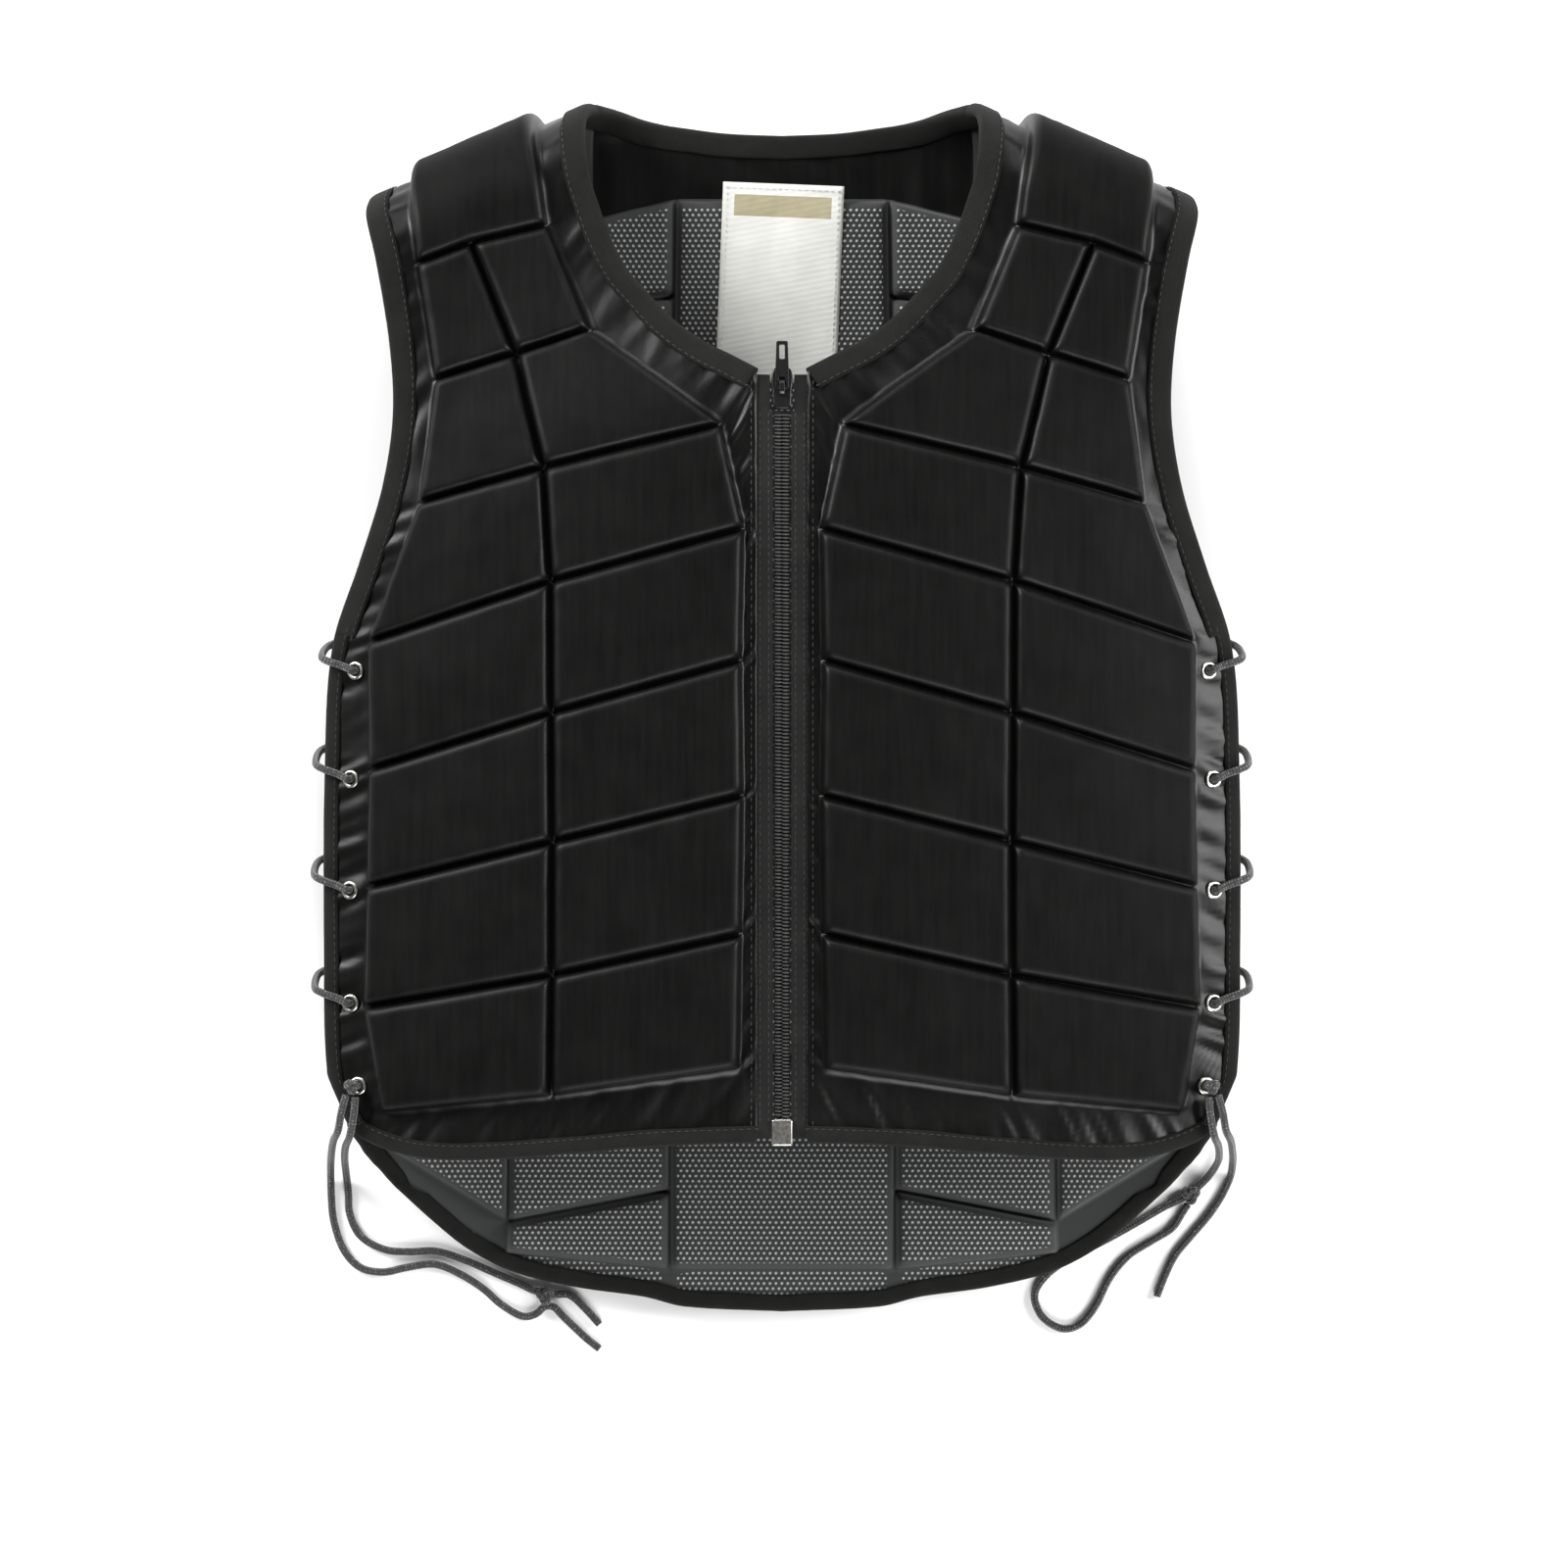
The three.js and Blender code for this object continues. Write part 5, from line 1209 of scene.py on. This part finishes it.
slider_bridge = pressed("zip_slider_bridge", [rounded_outline(arch, 0.0004)], BRIDGE_HALF, enamel,
                        slider_frame @ upright, edge=THIN_EDGE)
for part in (slider_body, slider_bridge):
    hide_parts("zip_slider")
    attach(part, "vest")
pull_rim = [(-0.0028, -0.0006), (0.0028, -0.0006), (0.0028, 0.007), (0.0024, 0.0194), (-0.0024, 0.0194),
            (-0.0028, 0.007)]
pull_slot = [(-0.00145, 0.0006), (0.00145, 0.0006), (0.00145, 0.0044), (-0.00145, 0.0044)]
pull_eye = [(-0.0011, 0.0118), (0.0011, 0.0118), (0.0011, 0.0178), (-0.0011, 0.0178)]
pull_outlines = [rounded_outline(pull_rim, 0.0009), rounded_outline(pull_slot, 0.0003),
                 rounded_outline(pull_eye, 0.0005)]
pull_frame = slider_frame @ Matrix.Translation((0, 0, SLIDER_HALF + PIN_LIFT))
zip_pull = pressed("zip_pull_tab", pull_outlines, PULL_HALF, enamel, pull_frame, edge=THIN_EDGE)
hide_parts("zip_pull")
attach(zip_pull, "zip_pull")
box_share = BOX_HEAD - BOX_SIZE[1] / 2 / LENGTH
box_seat = placed(1, np.array([0.0, float(y_of(box_share))]), np.array(0.0))
box_fall = layer(1, np.array([0.0, float(y_of(BOX_HEAD))]))[2] - box_seat[2]
box_frame = Matrix.Translation(box_seat) @ Matrix.Rotation(math.atan2(box_fall, BOX_SIZE[1] / 2), 4, "X")
w, h = BOX_SIZE[0] / 2, BOX_SIZE[1] / 2
box_rim = rounded_outline([(-w, -h), (w, -h), (w, h), (-w, h)], 0.0012)
zip_box = pressed("zip_foot_box", [box_rim], BOX_SIZE[2] / 2, nickel, box_frame, edge=SLIDER_EDGE)
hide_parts("zip_box")
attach(zip_box, "vest")

# The eyelets: nickel rings with a rolled rim, pressed through the strip of cloth beside each
# laced edge. Each one in the back stands a little higher than its neighbour in the front.
EYELET_SHARES = (0.533, 0.442, 0.35, 0.257, 0.182)
BACK_EYELET_RISE = 0.033
EYELET_INSET = 0.0103
EYELET_PROFILE = [(0.0021, -0.0018), (0.0026, -0.0018), (0.0026, 0.0017), (0.0032, 0.0017),
                  (0.0037, 0.0019), (0.0038, 0.0022), (0.0036, 0.0025), (0.0031, 0.0027),
                  (0.0025, 0.0026), (0.0021, 0.0022)]
EYELET_SIDES = 28


def eyelet_seat(side, sign, share):
    """The middle of an eyelet at this share of the side edge, and the way it faces."""
    edge = side_edge(share)
    run = side_edge(share + 0.005) - side_edge(share - 0.005)
    run /= np.linalg.norm(run)
    p = np.array([sign * (edge[0] - run[1] * EYELET_INSET), edge[1] + run[0] * EYELET_INSET])
    return placed(side, p), facing(side, p)


seats = {(name, side): [eyelet_seat(side, sign, share + (BACK_EYELET_RISE if side < 0 else 0))
                        for share in EYELET_SHARES]
         for name, sign in (("left", 1), ("right", -1)) for side in (1, -1)}
for (name, side), places_here in seats.items():
    vertices, faces = [], []
    for spot, axis in places_here:
        turn = Vector((0, 0, 1)).rotation_difference(Vector(axis)).to_matrix()
        start = len(vertices)
        size = len(EYELET_PROFILE)
        for k in range(EYELET_SIDES):
            angle = 2 * math.pi * k / EYELET_SIDES
            for radius, lift in EYELET_PROFILE:
                local = turn @ Vector((radius * math.cos(angle), radius * math.sin(angle), lift))
                vertices.append(np.array(local) + spot)
        for k in range(EYELET_SIDES):
            for i in range(size):
                a, b = start + k * size, start + ((k + 1) % EYELET_SIDES) * size
                faces.append((a + i, b + i, b + (i + 1) % size, a + (i + 1) % size))
    panel = "front" if side > 0 else "back"
    rings = piece_of(f"{name}_{panel}_eyelets", vertices, faces, nickel)
    outward_only(rings)
    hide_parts(*(f"eyelet_{panel}_{name}_{k + 1}" for k in range(len(EYELET_SHARES))))
    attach(rings, "vest")

# The lacing: the same cord, from each front eyelet round both edges into the next back eyelet
# from outside, then across inside to the following front eyelet.
THROUGH = (-0.0054, -0.0027, 0.0027, 0.005)
LACING_STEP = 0.0014
EDGE_CLEAR = 0.00655
EDGE_OUT = 0.0052
WRAP = [(1, 0.12, -0.8, 1.14), (1, 0.25, 0.4, 1.0), (1, 0.38, 1.05, 0.2), (-1, 0.66, 1.05, -0.2),
        (-1, 0.8, 0.35, -0.95), (-1, 0.9, -0.8, -1.05)]
for name, sign in (("left", 1), ("right", -1)):
    route = []
    fronts, behinds = seats[name, 1], seats[name, -1]
    for k, (spot, axis) in enumerate(fronts):
        route += [spot + axis * lift for lift in THROUGH]
        if k == len(fronts) - 1:
            break
        down, down_axis = behinds[k]
        for side, share, reach, lift in WRAP:
            y = spot[1] + (down[1] - spot[1]) * share
            x = float(side_edge(share_of(y))[0])
            height = placed(side, np.array([sign * x, y]))[2]
            route.append(np.array([sign * (x + reach * EDGE_OUT), y, height + lift * EDGE_CLEAR]))
        route += [down + down_axis * lift for lift in THROUGH[::-1]]
        route.append((down + fronts[k + 1][0]) / 2)
    lacing = tube(f"{name}_lacing", smooth_route(route, LACING_STEP), LACE, braid)
    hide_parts(f"lacing_{name}")
    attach(lacing, "vest")

# The label: white satin ribbon sewn to the lining below the back of the neck, left bare apart
# from a woven gold-beige bar across its head.
LABEL_WIDTH = 0.051
LABEL_LENGTH = 0.084
LABEL_TILT = math.radians(-2.3)
LABEL_CENTRE = (-0.001, float(y_of(0.852)), 0.0187)
LABEL_HALF = 0.0003
LABEL_LIFT = 0.0002
LABEL_WAVE = 0.0005
LABEL_HEM = 0.0015
LABEL_STEPS = (34, 56)
LABEL_SEAM = (0.0022, 0.0008)
BAR = (0.028, 0.037, 0.0205)


def label_material():
    """Ribbed white satin, with the bar marked out on the label's own UV map."""
    material, nodes, shader = finish_named("label_satin", Roughness=0.45, Sheen_Weight=0.2)
    u, v, _ = split(nodes, coordinate(nodes, "UV"))
    low, high, half = BAR
    inside = sums(nodes, "MULTIPLY", sums(nodes, "GREATER_THAN", v, low), sums(nodes, "LESS_THAN", v, high))
    bar = sums(nodes, "MULTIPLY", inside, sums(nodes, "LESS_THAN", sums(nodes, "ABSOLUTE", u), half))
    ribs = sums(nodes, "SINE", sums(nodes, "MULTIPLY", v, 2 * math.pi / 0.0005))
    stain = link(nodes, "ShaderNodeTexNoise", {"Vector": coordinate(nodes), "Scale": 70.0, "Detail": 4.0})
    white = tinted(nodes, stain, (0.55, 0.55, 0.51), (0.78, 0.78, 0.74))
    gold = tinted(nodes, stain, (0.2, 0.17, 0.09), (0.5, 0.45, 0.3))
    colour = link(nodes, "ShaderNodeMix", {0: bar, 6: white, 7: gold}, 2, data_type="RGBA")
    nodes.links.new(colour, shader.inputs["Base Color"])
    relief(nodes, shader, ribs, 0.00005)
    return material


across_steps, down_steps = LABEL_STEPS
sheet_vertices, sheet_uvs = [], []
label_turn = Matrix.Translation(LABEL_CENTRE) @ Matrix.Rotation(LABEL_TILT, 4, "Z")
for face in (1, -1):
    for j in range(down_steps + 1):
        for i in range(across_steps + 1):
            x = (i / across_steps - 0.5) * LABEL_WIDTH
            y = (j / down_steps - 0.5) * LABEL_LENGTH
            wave = LABEL_WAVE * noise.noise(Vector((x / 0.012, y / 0.03, 90.0)))
            hemmed = abs(x) > LABEL_WIDTH / 2 - LABEL_HEM or abs(y) > LABEL_LENGTH / 2 - LABEL_HEM
            height = face * LABEL_HALF + LABEL_LIFT + wave - LABEL_LIFT * hemmed
            sheet_vertices.append(label_turn @ Vector((x, y, height)))
            sheet_uvs.append((x, y))
row = across_steps + 1
layer_size = row * (down_steps + 1)
sheet_faces = []
for j in range(down_steps):
    for i in range(across_steps):
        a = j * row + i
        sheet_faces.append((a, a + 1, a + row + 1, a + row))
        sheet_faces.append(tuple(v + layer_size for v in (a, a + row, a + row + 1, a + 1)))
rim_loop = ([i for i in range(row)] + [j * row + row - 1 for j in range(1, down_steps + 1)]
            + [down_steps * row + i for i in range(row - 2, -1, -1)]
            + [j * row for j in range(down_steps - 1, 0, -1)])
for a, b in zip(rim_loop, rim_loop[1:] + rim_loop[:1]):
    sheet_faces.append((a, a + layer_size, b + layer_size, b))
label = piece_of("size_label", sheet_vertices, sheet_faces, label_material(), sheet_uvs)
outward_only(label)
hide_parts("label")
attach(label, "vest")
label_thread, label_nodes, label_shader = finish_named("label_thread", Roughness=0.6)
label_ply = link(label_nodes, "ShaderNodeTexWave", {"Vector": coordinate(label_nodes), "Scale": 700.0})
label_nodes.links.new(tinted(label_nodes, label_ply, (0.4, 0.4, 0.37), (0.7, 0.7, 0.66)),
                      label_shader.inputs["Base Color"])
w, h = LABEL_WIDTH / 2 - LABEL_SEAM[0], LABEL_LENGTH / 2 - LABEL_SEAM[0]
label_seams = []
for a, b in (((-w, -h), (w, -h)), ((w, -h), (w, h)), ((w, h), (-w, h)), ((-w, h), (-w, -h))):
    a, b = Vector((*a, LABEL_SEAM[1])), Vector((*b, LABEL_SEAM[1]))
    label_seams.append([label_turn @ a.lerp(b, t) for t in np.linspace(0, 1, 20)])
stitches("label_stitches", label_seams, label_thread, "label", Pitch=0.0026, Length=0.0017, Radius=0.00018)

# The floor, a plain pale sheet, and four soft lights that stand round it. None hangs straight
# above, so the flat blocks stay dark and only their edges and the puckers catch a light.
floor_material, _, floor_shader = finish_named("pale_floor", Roughness=0.9)
floor_shader.inputs["Base Color"].default_value = (0.9, 0.9, 0.9, 1)
floor = piece_of("floor", [(-3, -3, 0), (3, -3, 0), (3, 3, 0), (-3, 3, 0)], [(0, 1, 2, 3)], floor_material)
for name, place, size, power in (("key", (-1.5, 1.1, 0.9), 0.9, 75), ("fill", (1.6, 0.2, 0.9), 0.9, 45),
                                 ("front", (0.2, -1.7, 1.1), 1.0, 40), ("head", (0.1, 1.9, 1.0), 0.9, 22)):
    lamp = bpy.data.lights.new(name, "AREA")
    lamp.size = size
    lamp.energy = power
    light = bpy.data.objects.new(name, lamp)
    light.location = place
    light.rotation_euler = (Vector((0, 0, 0.05)) - Vector(place)).to_track_quat("-Z", "Y").to_euler()
    bpy.context.scene.collection.objects.link(light)
world = bpy.data.worlds.new("studio")
world.use_nodes = True
world.node_tree.nodes["Background"].inputs["Color"].default_value = (1, 1, 1, 1)
world.node_tree.nodes["Background"].inputs["Strength"].default_value = 0.16
bpy.context.scene.world = world
bpy.context.scene.view_settings.view_transform = "Standard"
